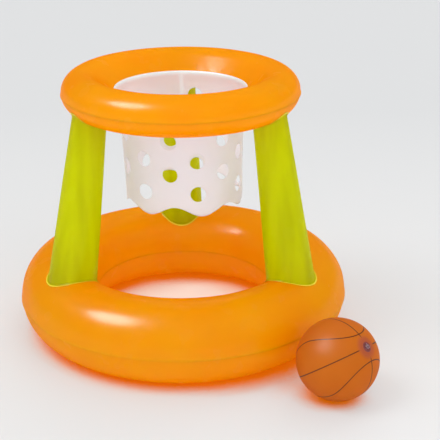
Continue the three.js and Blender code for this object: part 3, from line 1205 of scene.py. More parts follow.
    def valve(self) -> Valve:
        """Places the ring's valve on its upper film.

        Returns:
            The valve.
        """
        turn = math.radians(self.valve_rise)
        wide, high = self.tube_width / 2, self.tube_height / 2
        reach = self.tube_reach + wide * math.cos(turn)
        b = math.radians(self.valve_bearing)
        position = turned(reach, b, self.seam_height + high * math.sin(turn)) * MM
        rise = math.degrees(math.atan2(math.sin(turn) / high, math.cos(turn) / wide))
        round_tube = (wide + high) / 2 * MM
        round_ring = reach / math.cos(math.radians(rise)) * MM
        return Valve(
            self.finishes,
            self.body,
            name=self.name.split("_")[0],
            sizes=RING_VALVE,
            place=place_frame(self.centre + position, self.valve_bearing, rise),
            bend=lambda x, y: -x * x / (2 * round_ring) - y * y / (2 * round_tube),
        )

    def build(self) -> None:
        """Makes the two films and the valve."""
        valve = self.valve()
        upper = self.film(Half.UPPER)
        valve.open_film(upper)
        bmesh.ops.recalc_face_normals(upper, faces=upper.faces)
        # The highest face tells whether the whole film came out inside out
        if max(upper.faces, key=lambda f: f.calc_center_median().z).normal.z < 0:
            bmesh.ops.reverse_faces(upper, faces=upper.faces)
        nodes = [f"{self.name}_top_skin"]
        self.keep(upper, f"{self.name}_upper_film", Slot.ORANGE, nodes, wall=FILM_WALL)
        nodes = [f"{self.name}_bottom_skin"]
        lower = self.film(Half.LOWER)
        self.keep(lower, f"{self.name}_lower_film", Slot.ORANGE, nodes, wall=FILM_WALL)
        valve.build()


@dataclass
class BaseRing(InflatedRing):
    """The wide ring that floats or stands, pressed flat where it touches the ground."""

    contact_band: float = 26.0
    contact_softness: float = 0.5
    feet: tuple[float, ...] = ()
    foot_reach: float = 243.0
    foot_radius: float = 50.5
    crease: float = 0.55
    crease_width: float = 7.0
    crease_length: float = 95.0
    # Where a crease sets in, in millimetres from the foot, and where it is deepest
    crease_sets_in: Span = (-12.0, 8.0)
    crease_full: float = 10.0
    # The creases beside a foot: how far out each lies, how it slants and its depth
    creases: tuple[Way, ...] = ((24.0, 0.12, 1.0), (-30.0, -0.1, 0.7))
    # How far out on one side of a foot, and in on the other, the creases are moved
    crease_shift: float = 3.0

    def half_section(self) -> list[Vector]:
        """Gives the upper film as half of an ellipse.

        Returns:
            Its points as reach and height above the seam, in millimetres.
        """
        wide, high = self.tube_width / 2, self.tube_height / 2
        first = math.asin(self.start / high)
        angles = [
            first + (math.pi - 2 * first) * i / self.arc_steps
            for i in range(self.arc_steps + 1)
        ]
        return [Vector((self.tube_reach + wide * math.cos(a), high * math.sin(a))) for a in angles]

    def rise(self, reach: float, offset: float) -> float:
        """Gives the height of the ellipse over the seam."""
        across = (reach - self.tube_reach) / (self.tube_width / 2 + offset)
        return (self.tube_height / 2 + offset) * math.sqrt(max(1 - across**2, 0))

    def pressed(self, height: float) -> float:
        """Presses the lower film flat, a little deeper than it would hang."""
        stretch = math.sqrt(1 - (self.contact_band / self.tube_width) ** 2)
        return softly_over(height / stretch, -self.tube_height / 2, self.contact_softness)

    def lifted(self, reach: float, height: float, angle: float) -> Span:
        """Adds the creases that each pillar's weld pulls in the film beside it.

        Args:
            reach: The distance from the ring's axis, in millimetres.
            height: The height above the seam.
            angle: Where on the ring, in radians.

        Returns:
            How far a point moves up, and how far outwards, in millimetres.
        """
        up, out = super().lifted(reach, height, angle)
        if height <= 0:
            return up, out
        for index, bearing in enumerate(self.feet):
            swing = (angle - math.radians(bearing) + math.pi) % FULL_TURN - math.pi
            along = abs(self.foot_reach * swing) - self.foot_radius
            side = math.copysign(1, swing)
            faded = eased(self.crease_length, self.crease_full, along)
            faded *= eased(*self.crease_sets_in, along)
            for place, slant, depth in self.creases:
                line = self.foot_reach + place + slant * along + self.crease_shift * side + index
                across = (reach - line) / self.crease_width
                out -= self.crease * depth * faded * math.exp(-across * across)
        return up, out


@dataclass
class HoopRing(InflatedRing):
    """The smaller ring, whose section narrows to a point at the mouth."""

    crown_share: float = 0.7105
    run_steps: int = 12

    @property
    def crown(self) -> float:
        """How wide the round part of the section is, towards the mouth."""
        return self.crown_share * self.inner_span

    def half_section(self) -> list[Vector]:
        """Gives a round outer side, a round crown and a straight run to the mouth.

        Returns:
            Its points as reach and height above the seam, in millimetres.
        """
        wide, high = self.tube_width / 2, self.tube_height / 2
        first, top = math.asin(self.start / high), math.pi / 2
        leave = math.acos(-self.crown_share)
        outer_steps, crown_steps = self.arc_steps // 2, self.arc_steps // 4
        points = []
        for i in range(outer_steps + 1):
            a = first + (top - first) * i / outer_steps
            points.append(Vector((self.tube_reach + wide * math.cos(a), high * math.sin(a))))
        for i in range(1, crown_steps + 1):
            a = top + (leave - top) * i / crown_steps
            points.append(Vector((self.tube_reach + self.crown * math.cos(a), high * math.sin(a))))
        last = points[-1]
        seam = Vector((self.inner_seam, 0))
        step = (1 - self.start / last.y) / self.run_steps
        return points + [last.lerp(seam, step * i) for i in range(1, self.run_steps + 1)]

    def rise(self, reach: float, offset: float) -> float:
        """Gives the height of the section over the seam.

        Args:
            reach: The distance from the ring's axis, in millimetres.
            offset: How far the surface is moved outwards.

        Returns:
            The height in millimetres, and 0 past the section's ends.
        """
        high = self.tube_height / 2 + offset
        if reach >= self.tube_reach:
            across = (reach - self.tube_reach) / (self.tube_width / 2 + offset)
            return high * math.sqrt(max(1 - across**2, 0))
        crown, span = self.crown + offset, self.inner_span + offset
        leave = math.acos(-crown / span)
        edge = self.tube_reach + crown * math.cos(leave)
        if reach >= edge:
            across = (reach - self.tube_reach) / crown
            return high * math.sqrt(max(1 - across**2, 0))
        seam = self.tube_reach - span
        return high * math.sin(leave) * max(reach - seam, 0) / (edge - seam)


# Pillars


class End(Enum):
    """The two ends of a pillar."""

    FOOT = -1
    HEAD = 1


@dataclass
class Pillar(SubAssembly):
    """A tapering tube of film, its ends turned out into welds that lie on the rings."""

    side: str = "back"
    bearing: float = 92.8
    base: InflatedRing | None = None
    hoop: InflatedRing | None = None
    foot_width: float = 93.0
    head_width: float = 66.0
    foot_inset: float = 11.0
    head_outset: float = 5.0
    weld: float = 4.0
    corner: float = 4.0
    air_hole: float = 12.0
    columns: int = 120
    rows: int = 64
    pucker: float = 0.55
    pucker_reach: float = 26.0
    fold: float = 0.5
    seed: float = 3.1
    puckers: float = 17.0
    # How far from a weld, in millimetres, the puckers are full and the folds are full
    pucker_sets_in: Span = (2.0, 12.0)
    fold_sets_in: float = 50.0
    fold_length: float = 170.0
    fold_turn: float = 1.3
    fold_rate: float = 1.4
    # How far from the axis' ends the welds lie, and what the head's seed differs by
    end_depth: float = 3.0
    head_seed: float = 5.0
    # The weld's edge and its turn up into the tube
    edge: float = 0.35
    flat_share: float = 0.6
    turn_share: float = 0.45
    turn_out: float = 1.8
    corner_steps: int = 6
    weld_rows: int = 3
    # How far along the axis a ring's surface is looked for, off it and inside it
    free_reach: float = 70.0
    buried_reach: float = 60.0
    halvings: int = 26
    disc_inset: float = 0.2
    disc_rings: int = 12
    disc_steps: int = 60
    disc_centre: float = 0.5

    def __post_init__(self) -> None:
        """Works out the pillar's axis."""
        b = math.radians(self.bearing)
        self.foot = turned(self.base.tube_reach - self.foot_inset, b, self.base.tube_height)
        self.head = turned(
            self.hoop.tube_reach + self.head_outset,
            b,
            self.hoop.seam_height - self.hoop.tube_height / 2,
        )
        self.length = (self.head - self.foot).length
        self.axis = (self.head - self.foot).normalized()
        self.across = Vector((-math.sin(b), math.cos(b), 0))
        self.outward = self.across.cross(self.axis)

    def ruling(self, angle: float, along: float, extra: float) -> Vector:
        """Gives a point beside the axis.

        Args:
            angle: Where round the axis, in radians.
            along: How far up from where the axis leaves the base ring, in millimetres.
            extra: How far outside the film.

        Returns:
            The point about the hoop's centre, in millimetres.
        """
        share = along / self.length
        radius = (self.foot_width + (self.head_width - self.foot_width) * share) / 2
        way = self.outward * math.cos(angle) + self.across * math.sin(angle)
        return self.foot + self.axis * along + way * (radius + extra)

    def level(self, angle: float, extra: float, offset: float, end: End) -> float:
        """Finds where a ruling meets a ring.

        Args:
            angle: Where round the axis, in radians.
            extra: How far outside the film the ruling lies.
            offset: How far outside the ring its surface is taken.
            end: Which end.

        Returns:
            How far along the axis, in millimetres.
        """
        ring = self.base if end is End.FOOT else self.hoop
        middle = 0.0 if end is End.FOOT else self.length
        free = middle - self.free_reach * end.value
        buried = middle + self.buried_reach * end.value
        for _ in range(self.halvings):
            tried = (free + buried) / 2
            p = self.ruling(angle, tried, extra)
            height = abs(p.z - ring.seam_height)
            if height > ring.rise(p.xy.length, offset):
                free = tried
            else:
                buried = tried
        return (free + buried) / 2

    def meeting(self, angle: float, extra: float, offset: float, end: End) -> Vector:
        """Gives the point where a ruling meets a ring; the arguments are those of level."""
        return self.ruling(angle, self.level(angle, extra, offset, end), extra)

    def column(self, angle: float) -> list[Vector]:
        """Gives a lengthwise line of the tube, from one weld's edge to the other's.

        Args:
            angle: Where round the axis, in radians.

        Returns:
            Its points about the hoop's centre, in millimetres.
        """
        offset = 2 * SEAT_GAP + 2 * FILM_WALL
        ends = {}
        for end in End:
            flat = [self.weld, self.weld - self.edge, self.weld * self.flat_share]
            lying = [self.meeting(angle, extra, offset, end) for extra in flat]
            foot = self.level(angle, 0, offset, end)
            turn = self.level(angle, self.weld * self.turn_share, offset, end)
            near = self.ruling(angle, turn, self.turn_out)
            free = foot - end.value * self.corner
            corner, up = self.ruling(angle, foot, 0), self.ruling(angle, free, 0)
            ends[end] = (lying + soft_corner(near, corner, up, self.corner_steps), free)
        (low_points, low), (high_points, high) = ends[End.FOOT], ends[End.HEAD]
        middle = [
            self.ruling(angle, low + (high - low) * i / self.rows, 0)
            for i in range(1, self.rows)
        ]
        return low_points + middle + high_points[::-1]

    def crumple(self, angle: float, along: float) -> float:
        """Gives how far the tube's film stands out or in.

        Args:
            angle: Where round the axis, in radians.
            along: How far up the axis, in millimetres.

        Returns:
            The distance in millimetres.
        """
        near = min(abs(along - self.end_depth), abs(self.length - along - self.end_depth))
        seed = self.seed + (self.head_seed if along > self.length / 2 else 0)
        folds = ripple(angle, self.puckers, seed)
        out = self.pucker * folds * math.exp(-near / self.pucker_reach)
        out *= eased(*self.pucker_sets_in, near)
        slow = turned(self.fold_turn, angle, along / self.fold_length + self.seed)
        out += self.fold * noise.noise(slow * self.fold_rate) * eased(0, self.fold_sets_in, near)
        return out

    def tube(self) -> Mesh:
        """Rolls a sheet into the tube's film, with the welds at its two ends.

        Returns:
            The film's outer face, in its place.
        """
        lines = [self.column(FULL_TURN * i / self.columns) for i in range(self.columns)]
        rows = len(lines[0])
        mesh = bmesh.new()
        layer = mesh.verts.layers.float.new(WELD)
        bmesh.ops.create_grid(mesh, x_segments=self.columns, y_segments=rows - 1, size=0.5)
        for vert in mesh.verts:
            column = round((vert.co.x + 0.5) * self.columns) % self.columns
            row = round((vert.co.y + 0.5) * (rows - 1))
            welded = min(row, rows - 1 - row) < self.weld_rows
            vert[layer] = float(welded)
            place = lines[column][row]
            if not welded:
                angle = FULL_TURN * column / self.columns
                along = (place - self.foot).dot(self.axis)
                way = self.outward * math.cos(angle) + self.across * math.sin(angle)
                place = place + way * self.crumple(angle, along)
            vert.co = place * MM
        bmesh.ops.remove_doubles(mesh, verts=mesh.verts, dist=0.001 * MM)
        middle = (self.foot + self.head) / 2 * MM
        face_outwards(mesh, lambda p: (p - middle) - self.axis * (p - middle).dot(self.axis))
        bmesh.ops.translate(mesh, vec=self.base.centre, verts=mesh.verts)
        return mesh

    def disc(self, end: End) -> Mesh:
        """Makes the disc between a pillar's weld and the ring that it is welded to.

        Args:
            end: Which end.

        Returns:
            The disc's outer face, in its place.
        """
        width = self.foot_width if end is End.FOOT else self.head_width
        out = width / 2 + self.weld - self.disc_inset
        hole = self.air_hole / 2 if end is End.FOOT else self.disc_centre
        offset = SEAT_GAP + FILM_WALL
        mesh = bmesh.new()
        ring: list[Vert] = []
        for i in range(self.disc_rings + 1):
            radius = hole + (out - hole) * i / self.disc_rings
            last = loop_edges(ring)
            ring = bmesh.ops.create_circle(mesh, segments=self.disc_steps, radius=1.0)["verts"]
            for vert in ring:
                angle = math.atan2(vert.co.y, vert.co.x)
                vert.co = self.meeting(angle, radius - width / 2, offset, end) * MM
            mesh.edges.index_update()
            if last:
                bmesh.ops.bridge_loops(mesh, edges=[*last, *loop_edges(ring)])
        if end is End.HEAD:
            bmesh.ops.holes_fill(mesh, edges=open_loop(mesh, self.head * MM), sides=0)
        bmesh.ops.translate(mesh, vec=self.base.centre, verts=mesh.verts)
        face_outwards(mesh, lambda p: -self.axis * end.value)
        return mesh

    def build(self) -> None:
        """Makes the tube and its two discs."""
        name = f"pillar_{self.side}"
        self.keep(self.tube(), f"{name}_tube_film", Slot.LIME, [f"{name}_sleeve"], wall=FILM_WALL)
        for end in End:
            word = end.name.lower()
            self.keep(
                self.disc(end),
                f"{name}_{word}_patch",
                Slot.LIME,
                [f"{name}_{word}_disc"],
                wall=FILM_WALL,
            )


# Net


@dataclass
class Net(SubAssembly):
    """A sleeve of punched film, welded in at the mouth and cut in waves along its hem."""

    centre: Vector = field(default_factory=Vector)
    top: float = 498.0
    top_radius: float = 129.7
    hem: float = 281.0
    hem_radius: float = 119.0
    sway: float = 5.0
    taper_power: float = 3.0
    creases: int = 4
    crease_bearing: float = 305.0
    crease_reach: float = 4.0
    lobes: int = 7
    lobe_bearing: float = 284.5
    scallop: float = 9.0
    scallop_lead: float = 3.7
    scallop_ease: float = 18.0
    hole_radius: float = 15.0
    lobe_holes: tuple[float, ...] = (317.0, 383.0, 449.0)
    arch_holes: tuple[float, ...] = (356.0, 422.0)
    # Some holes at the back hang this many cells lower than their row
    drops: dict[tuple[int, float], int] = field(
        default_factory=lambda: {(1, 449.0): 3, (13, 317.0): 5, (11, 317.0): 5}
    )
    cell: float = 3.0
    cells_across: int = 18
    hole_cells: int = 6
    # How far off a hole's square opening, in cells, its edges are still found
    slack: float = 0.01
    lip: float = 7.0
    seam_width: float = 6.0
    seam_rise: float = 0.45
    seam_edge: float = 1.2
    seam_weld: float = 0.45
    seam_weld_edge: float = 1.0
    # The sleeve's own seam lies this many columns before the middle of the first lobe
    seam_columns: float = 7.5
    lip_edge: float = 1.5
    flutter: float = 0.7
    flutter_turn: float = 2.1
    flutter_length: float = 70.0
    crease_softness: float = 0.012
    # The two rings of film that round off a hole, as shares of its radius
    punched: Span = (1.09, 1.0)

    @property
    def rows(self) -> int:
        """How many cells the pattern is high."""
        return int((self.top - self.hem) // self.cell)

    @property
    def columns(self) -> int:
        """How many columns of holes go round."""
        return 2 * self.lobes

    @property
    def column_angle(self) -> float:
        """The angle that one column takes."""
        return FULL_TURN / self.columns

    @property
    def first_angle(self) -> float:
        """Where the sleeve's own seam is, at the back between two columns."""
        return math.radians(self.lobe_bearing) - self.seam_columns * self.column_angle

    def pattern(self) -> Mesh:
        """Cuts the flat pattern with its holes.

        Returns:
            The pattern, in cells. X runs round the net and Y runs up it.
        """
        across, rows = self.columns * self.cells_across, self.rows
        mesh = bmesh.new()
        bmesh.ops.create_grid(mesh, x_segments=across, y_segments=rows, size=0.5)
        bmesh.ops.translate(mesh, vec=(0.5, 0.5, 0), verts=mesh.verts)
        bmesh.ops.scale(mesh, vec=(across, rows, 1), verts=mesh.verts)
        holes = list(self.holes())
        half = self.hole_cells
        gone = [
            f
            for f in mesh.faces
            if any(
                abs(f.calc_center_median().x - x) < half
                and abs(f.calc_center_median().y - y) < half
                for x, y in holes
            )
        ]
        bmesh.ops.delete(mesh, geom=gone, context="FACES")
        for x, y in holes:
            self.punch(mesh, x, y)
        return mesh

    def holes(self) -> Iterable[Span]:
        """Says where the holes are punched.

        Yields:
            The middle of each hole on the pattern, in cells.
        """
        for column in range(self.columns):
            # The first column past the seam holds arch holes, as the lobes are spaced
            heights = self.lobe_holes if column % 2 else self.arch_holes
            for height in heights:
                yield (
                    (column + 0.5) * self.cells_across,
                    (height - self.hem) / self.cell - self.drops.get((column, height), 0),
                )

    def punch(self, mesh: Mesh, x: float, y: float) -> None:
        """Rounds off one of the square openings of the pattern.

        Args:
            mesh: The pattern.
            x: The opening's middle round the net, in cells.
            y: Its middle up the net.
        """
        half = self.hole_cells
        square = [
            e
            for e in mesh.edges
            if e.is_boundary
            and all(max(abs(v.co.x - x), abs(v.co.y - y)) < half + self.slack for v in e.verts)
        ]
        middle = Vector((x, y, 0))
        for share in self.punched:
            grown = bmesh.ops.extrude_edge_only(mesh, edges=square)["geom"]
            for vert in grown:
                if isinstance(vert, Vert):
                    way = (vert.co - middle).normalized()
                    vert.co = middle + way * (self.hole_radius / self.cell * share)
            square = [e for e in grown if isinstance(e, Edge) and e.is_boundary]

    def height_at(self, angle: float, row: float) -> float:
        """Gives the height of a row of the pattern, drawn down and up along the hem.

        Args:
            angle: Where round the net, in radians.
            row: The row, in cells from the hem.

        Returns:
            The height in millimetres.
        """
        height = self.hem + row * self.cell
        if row > self.rows - 0.5:
            height = self.top
        turn = angle - math.radians(self.lobe_bearing + self.scallop_lead)
        wave = -self.scallop * math.cos(self.lobes * turn)
        return height + wave * max(1 - row * self.cell / self.scallop_ease, 0)

    def hung(self, angle: float, height: float) -> Vector:
        """Gives where a place on the pattern hangs.

        Args:
            angle: Where round the net, in radians.
            height: Its height in millimetres.

        Returns:
            The point about the hoop's centre, in millimetres.
        """
        climb = max((height - self.hem) / (self.top - self.hem), 0)
        spread = (self.top_radius - self.hem_radius) * climb**self.taper_power
        turn = self.creases / 2 * (angle - math.radians(self.crease_bearing))
        loose = 1 - climb
        # The folds are soft, so the sharp corner of the plain form is rounded here
        to_crease = math.sqrt(math.sin(turn) ** 2 + self.crease_softness)
        crease = self.crease_reach * loose * (1 - 2 * to_crease)
        wave = turned(self.flutter_turn, angle, height / self.flutter_length)
        radius = self.hem_radius + spread + crease + self.flutter * loose * noise.noise(wave)
        seam = (angle - self.first_angle + math.pi) % FULL_TURN - math.pi
        off = abs(seam) * self.hem_radius
        half = self.seam_width / 2
        radius += self.seam_rise * eased(half + self.seam_edge, half, off)
        return turned(radius, angle, height) + Vector((self.sway * loose, 0, 0))

    def sleeve(self) -> Mesh:
        """Hangs the pattern in the mouth, closes its seam and says where it is welded.

        Returns:
            The net's outer face, in its place.
        """
        mesh = self.pattern()
        layer = mesh.verts.layers.float.new(WELD)
        cell_angle, half = self.column_angle / self.cells_across, self.seam_width / 2
        for vert in mesh.verts:
            x, row = vert.co.x, vert.co.y
            angle = self.first_angle + x * cell_angle
            height = self.height_at(angle, row)
            off = min(x, self.columns * self.cells_across - x) * self.cell
            low = self.top - self.lip
            lip = eased(low - self.lip_edge, low + self.lip_edge, height)
            vert[layer] = max(lip, self.seam_weld * eased(half + self.seam_weld_edge, half, off))
            vert.co = self.hung(angle, height) * MM
        bmesh.ops.remove_doubles(mesh, verts=mesh.verts, dist=0.01 * MM)
        face_outwards(mesh, lambda p: Vector((p.x, p.y, 0)))
        bmesh.ops.translate(mesh, vec=self.centre, verts=mesh.verts)
        return mesh

    def build(self) -> None:
        """Makes the net."""
        made = self.keep(
            self.sleeve(), "net_film", Slot.MILKY, ["net_sleeve"], wall=FILM_WALL, sharp_over=70
        )


# Ball


@dataclass
class Ball(SubAssembly):
    """The small printed ball, resting on a flat of its own weight."""

    centre: Vector = field(default_factory=Vector)
    radius: float = 76.0
    valve_bearing: float = -40.1
    valve_rise: float = 36.7
    bulge: float = 0.35
    bulge_rate: float = 2.2
    bulge_seed: Way = (9.0, 4.0, 2.0)
    flat_softness: float = 0.3
    segments: int = 96
    rings: int = 64

    def valve(self) -> Valve:
        """Places the ball's valve on its film.

        Returns:
            The valve.
        """
        place = place_frame(self.centre, self.valve_bearing, self.valve_rise)
        out = place.to_3x3() @ Vector((0, 0, self.radius * MM))
        place = Matrix.Translation(out) @ place
        span = 2 * self.radius * MM
        return Valve(
            self.finishes,
            self.body,
            name="ball",
            sizes=BALL_VALVE,
            place=place,
            bend=lambda x, y: -(x * x + y * y) / span,
            # The film on the flange takes the ball film's weld colour, which is partly painted
            # shade
            welded=1.0,
        )

    def skin(self, valve: Valve) -> Mesh:
        """Makes the ball's film, with the opening for its valve.

        Args:
            valve: The ball's valve.

        Returns:
            The film's outer face, in its place.
        """
        mesh = bmesh.new()
        turn = valve.place.to_3x3().to_4x4()
        bmesh.ops.create_uvsphere(
            mesh,
            u_segments=self.segments,
            v_segments=self.rings,
            radius=self.radius * MM,
            matrix=turn,
        )
        mesh.verts.layers.float.new(WELD)
        for vert in mesh.verts:
            out = vert.co.normalized()
            place = out * self.bulge_rate + Vector(self.bulge_seed)
            vert.co += out * (self.bulge * MM * noise.noise(place))
        bmesh.ops.translate(mesh, vec=self.centre, verts=mesh.verts)
        valve.open_film(mesh)
        face_outwards(mesh, lambda p: p - self.centre)
        for vert in mesh.verts:
            vert.co.z = softly_over(vert.co.z, 0.0, self.flat_softness * MM)
        return mesh

    def build(self) -> None:
        """Makes the ball and its valve."""
        valve = self.valve()
        self.keep(self.skin(valve), "ball_film", Slot.BALL, ["ball_skin"], wall=FILM_WALL)
        valve.build()


# Studio


@dataclass(frozen=True)
class Lamp:
    """A large soft lamp far away.

    It stands in the direction of way, lights what faces it by power watts per square metre
    and looks spread degrees wide. A window lamp shows only in the gloss, and the others
    light everything else.
    """

    name: str
    way: Way
    power: float
    spread: float
    window: bool = False

    def hang(self) -> None:
        """Hangs the lamp."""
        data = bpy.data.lights.new(self.name, "SUN")
        data.angle = math.radians(self.spread)
        data.energy = self.power
        made = linked(self.name, data)
        made.location = Vector(self.way).normalized()
        made.rotation_euler = made.location.to_track_quat("Z", "Y").to_euler()
        made.visible_glossy = self.window
        made.visible_diffuse = made.visible_transmission = not self.window


LAMPS = (
    Lamp("softbox", (-0.58, -0.15, 0.79), power=0.72, spread=28.0),
    Lamp("fill", (0.4, -0.75, 0.62), power=0.76, spread=60.0),
    Lamp("back", (0.25, 0.75, 0.55), power=0.75, spread=60.0),
    Lamp("shine", (-0.57, -0.2, 0.79), power=8.0, spread=26.0, window=True),
)


@dataclass
class Studio:
    """A pale floor that runs out of the picture, large soft lamps and a white room."""

    ring_centre: Vector = field(default_factory=Vector)
    paper_roughness: float = 0.9
    paper_level: float = 0.1
    floor_reach: float = 40.0
    # Paper's fibres are far finer, and are drawn this coarse so that they show
    fibre_mm: float = 50 / 3
    fibre_depth_mm: float = 0.05
    # How far away, in metres, the floor has its near and its far colour
    near_and_far: Span = (-0.6, 1.6)
    # How far from the ring's middle, in metres, the painted warm light inside it ends and is full
    inside_reach: Span = (0.26, 0.20)
    # How much of the sky shows where the painted orange light of the film starts and is full
    sky_shown: Span = (0.46, 0.23)
    # The painted light on the ground: the film's orange glow, and the warm glow inside the ring
    painted_film_glow: str = "#e87a00"
    painted_ring_glow: str = "#f2e3d9"
    # How far, in metres, film hides the sky from the ground, and the rays that look for it
    film_reach: float = 0.2
    sky_rays: int = 8
    near: str = "#d9d9d9"
    far: str = "#c9cacb"
    bounce: str = "#f2f2f2"
    lift: float = 0.4
    open_light: float = 1.19
    # The room's light at the horizon and from room_top up, which is the sine of an angle,
    # and the share of it that shows in the gloss
    room_low: float = 0.8
    room_high: float = 0.92
    room_top: float = 0.8
    room_reflected: float = 0.15
    eye: Way = (0.0609147, -2.1669815, 1.0753127)
    aim: Way = (0.0609147, 0.0325237, 0.22072)
    focal_pixels: float = 1166.06
    frame_pixels: float = 440.0
    roll: float = -0.00309

    def floor(self) -> None:
        """Lays the floor, a shade darker towards the back as in the photograph."""
        mesh = bmesh.new()
        bmesh.ops.create_grid(mesh, x_segments=2, y_segments=2, size=self.floor_reach)
        # Rolled matt paper has no gloss, and shadows lie soft on it. The orange light that the
        # film throws on it is painted into its colour, which the camera also sees partly as a glow
        paper = bpy.data.materials.new("matt_studio_paper")
        tree = emptied(paper)
        place = add(tree, "ShaderNodeTexCoord")["Object"]
        links = {"Vector": place, "Scale": per_metre(self.fibre_mm)}
        fibre = add(tree, "ShaderNodeTexNoise", links)[0]
        links = {"Height": fibre, "Distance": self.fibre_depth_mm * MM, "Strength": 1.0}
        bump = add(tree, "ShaderNodeBump", links)[0]
        path = add(tree, "ShaderNodeLightPath")
        links = {0: path["Is Camera Ray"], 1: path["Is Glossy Ray"]}
        seen = add(tree, "ShaderNodeMath", links, operation="MAXIMUM")[0]
        ground_and_painted_glow = self.painted_film_light(tree, place)
        links = {0: seen, 6: linear(self.bounce), 7: ground_and_painted_glow}
        links = {
            "Base Color": add(tree, "ShaderNodeMix", links, data_type="RGBA")[2],
            "Roughness": self.paper_roughness,
            "Specular IOR Level": self.paper_level,
            "Normal": bump,
        }
        matt = add(tree, "ShaderNodeBsdfPrincipled", links)[0]
        links = {"Color": ground_and_painted_glow, "Strength": self.open_light}
        glow = add(tree, "ShaderNodeEmission", links)[0]
        links = {0: path["Is Camera Ray"], 1: self.lift}
        lifted = add(tree, "ShaderNodeMath", links, operation="MULTIPLY")[0]
        mixed = add(tree, "ShaderNodeMixShader", {0: lifted, 1: matt, 2: glow})[0]
        add(tree, "ShaderNodeOutputMaterial", {0: mixed})
        finished(mesh, "floor", paper)

    def painted_film_light(self, tree: Tree, place: Socket) -> Socket:
        """Colours the ground, and paints on it the light that reaches it through the orange film.

        Under the ring and the ball the sky is hidden by orange film, so a deep orange glow is
        painted on the ground there, as far as ambient occlusion finds the film, and it fades where
        white light comes in from the side. A warm glow is painted inside the ring as well.

        Args:
            tree: The node tree.
            place: The socket of the object's coordinates.

        Returns:
            The colour's socket.
        """
        away = add(tree, "ShaderNodeSeparateXYZ", {0: place})[1]
        links = {0: place, 1: self.ring_centre}
        reach = add(tree, "ShaderNodeVectorMath", links, operation="DISTANCE")[1]
        links = {"Distance": self.film_reach}
        sky = add(tree, "ShaderNodeAmbientOcclusion", links, samples=self.sky_rays)["AO"]
        ground = linear(self.near)
        # The paper's colour from near to far, then the painted glow inside the ring and under the
        # film
        for value, span, over, fade in (
            (away, self.near_and_far, self.far, "LINEAR"),
            (reach, self.inside_reach, self.painted_ring_glow, "SMOOTHSTEP"),
            (sky, self.sky_shown, self.painted_film_glow, "SMOOTHSTEP"),
        ):
            links = dict(enumerate((value, *span)))
            share = add(tree, "ShaderNodeMapRange", links, interpolation_type=fade)[0]
            links = {0: share, 6: ground, 7: linear(over)}
            ground = add(tree, "ShaderNodeMix", links, data_type="RGBA")[2]
        return ground

    def lights(self) -> None:
        """Fills the room with white light and hangs the lamps."""
        world = bpy.data.worlds.new("white_room")
        bpy.context.scene.world = world
        tree = emptied(world)
        way = add(tree, "ShaderNodeTexCoord")["Generated"]
        high = add(tree, "ShaderNodeSeparateXYZ", {0: way})[2]
        links = {0: high, 2: self.room_top, 3: self.room_low, 4: self.room_high}
        light = add(tree, "ShaderNodeMapRange", links)[0]
        glossy = add(tree, "ShaderNodeLightPath")["Is Glossy Ray"]
        links = {0: glossy, 3: 1.0, 4: self.room_reflected}
        kept = add(tree, "ShaderNodeMapRange", links)[0]
        strength = add(tree, "ShaderNodeMath", {0: light, 1: kept}, operation="MULTIPLY")[0]
        links = {"Color": linear("#ffffff"), "Strength": strength}
        glow = add(tree, "ShaderNodeBackground", links)[0]
        add(tree, "ShaderNodeOutputWorld", {0: glow})
        for lamp in LAMPS:
            lamp.hang()

    def camera(self) -> None:
        """Sets the camera where the photograph was taken from."""
        data = bpy.data.cameras.new("camera")
        data.lens = self.focal_pixels / self.frame_pixels * data.sensor_width
        made = linked("camera", data)
        eye, aim = Vector(self.eye), Vector(self.aim)
        look = (aim - eye).to_track_quat("-Z", "Y").to_matrix().to_4x4()
        turn = look @ Matrix.Rotation(self.roll, 4, "Z")
        made.location = eye
        made.rotation_euler = turn.to_euler()
        bpy.context.scene.camera = made

    def build(self) -> None:
        """Sets up the studio."""
        self.camera()
        self.lights()
        self.floor()
        bpy.context.scene.view_settings.view_transform = "Standard"


# The whole set


# The directions square to the ball's two straight ribs, which cross at its valve
RIB_SIDES = (Vector((0.415, -0.435, -0.800)), Vector((0.672, 0.738, -0.053)))


def ball_turn() -> Way:
    """Turns the ball's print so that its straight ribs cross at the valve.

    Returns:
        The turn, as the angles that a Mapping node takes.
    """
    x, y = RIB_SIDES[0].normalized(), RIB_SIDES[1]
    y = (y - x * y.dot(x)).normalized()
    return tuple(Matrix((x, y, x.cross(y))).transposed().to_euler("XYZ"))


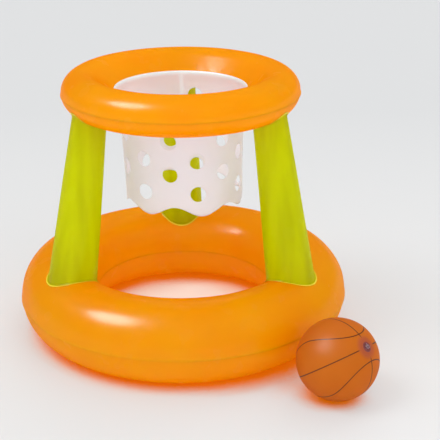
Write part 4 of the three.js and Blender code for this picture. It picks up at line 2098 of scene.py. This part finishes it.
def finishes(ball_centre: Vector) -> dict[Slot, Material]:
    """Makes the materials.

    Args:
        ball_centre: The middle of the ball, which its print is centred on.

    Returns:
        The material of each slot.
    """
    # Light crosses a film more than once before it is seen, so a film looks deeper than the
    # colours written here, and the orange one redder
    chosen = {
        # Dense pigment in glossy film: a full orange that glows where light comes through
        Slot.ORANGE: VinylFilm(
            "calendered_pvc_film_orange",
            colour="#fdf000",
            streak="#fde600",
            glow="#fdd100",
            deep="#fdcd00",
            weld="#fdea00",
            # Over a valve's flange the film is painted a deeper orange, as painted shade of the
            # glow held back
            seat="#f8951a",
            weld_passes=0.92,
            passes=0.8,
            level=0.62,
        ),
        # Pigment drawn out by the rolls: fine streaks along the tube, and a weaker gloss
        Slot.LIME: VinylFilm(
            "calendered_pvc_film_lime",
            colour="#eff500",
            streak="#dcde00",
            glow="#eef100",
            deep="#e6e900",
            # The welds at the tube's ends are a brighter yellow: partly lime film lying on orange,
            # partly painted light for a flat weld that faces the light above
            weld="#ffe83c",
            weld_passes=0.35,
            passes=0.78,
            streak_mm=24.0,
            streak_run=20.0,
            level=0.35,
            refraction=1.42,
        ),
        # Hazy film with little pigment: a white, satin skin that light shows through
        Slot.MILKY: VinylFilm(
            "calendered_pvc_film_milky",
            colour="#eff0f4",
            streak="#ebecf1",
            glow="#f9fafd",
            deep="#f7f8fb",
            weld="#f4fdff",
            passes=0.6,
            weld_passes=0.4,
            roughness=0.45,
        ),
        # Orange film under satin ink: a dull skin, redder round the valve
        Slot.BALL: PrintedFilm(
            "screen_printed_pvc_film_ball",
            colour="#e89b26",
            streak="#e29020",
            glow="#ee9c20",
            deep="#ea961c",
            # The film welded on the valve's flange is dark red-brown: partly the weld, partly
            # painted shade of a recess round the valve that the film is not shaped with
            weld="#8c4a4a",
            weld_passes=0.5,
            passes=0.65,
            roughness=0.42,
            refraction=1.42,
            level=0.35,
            centre=tuple(ball_centre),
            turn=ball_turn(),
        ),
        # Clear soft PVC: glassy and slightly cloudy
        Slot.CLEAR: MouldedVinyl("moulded_clear_pvc", colour="#d8b4b8", haze="#b8888e"),
    }
    return {slot: finish.material() for slot, finish in chosen.items()}


def middle_of(node: str) -> Vector:
    """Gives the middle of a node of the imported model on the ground."""
    low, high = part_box(node)
    return Vector(((low.x + high.x) / 2, (low.y + high.y) / 2, 0))


def main() -> None:
    """Builds the set and the studio, and writes how large they came out."""
    logging.basicConfig(level=logging.INFO, format="%(name)s: %(message)s")
    centre = middle_of("base_ring_top_skin")
    low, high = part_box("ball_skin")
    ball_radius = (high.x - low.x) / 2
    ball_centre = middle_of("ball_skin") + Vector((0, 0, high.z - ball_radius))
    made = finishes(ball_centre)
    Studio(centre).build()
    bearings = {"back": 92.8, "left": 210.0, "right": 330.0}
    base = BaseRing(made, name="base_ring", centre=centre, feet=tuple(bearings.values()))
    hoop = HoopRing(
        made,
        name="hoop_ring",
        centre=centre,
        seam_height=494.0,
        tube_reach=191.0,
        tube_width=81.0,
        tube_height=77.0,
        inner_span=57.0,
        outer_weld=4.0,
        inner_weld=4.0,
        inner_droop=0.0,
        valve_bearing=60.0,
        valve_rise=30.0,
        arc_steps=48,
        pucker=0.35,
        pucker_length=17.0,
        pucker_reach=11.0,
        bulge=0.35,
        seed=4.3,
    )
    base.build()
    hoop.build()
    for index, (side, bearing) in enumerate(bearings.items()):
        Pillar(made, side=side, bearing=bearing, base=base, hoop=hoop, seed=3.1 + index).build()
    Net(made, centre=centre).build()
    Ball(made, "ball", centre=ball_centre, radius=ball_radius / MM).build()


if __name__ == "__main__":
    main()
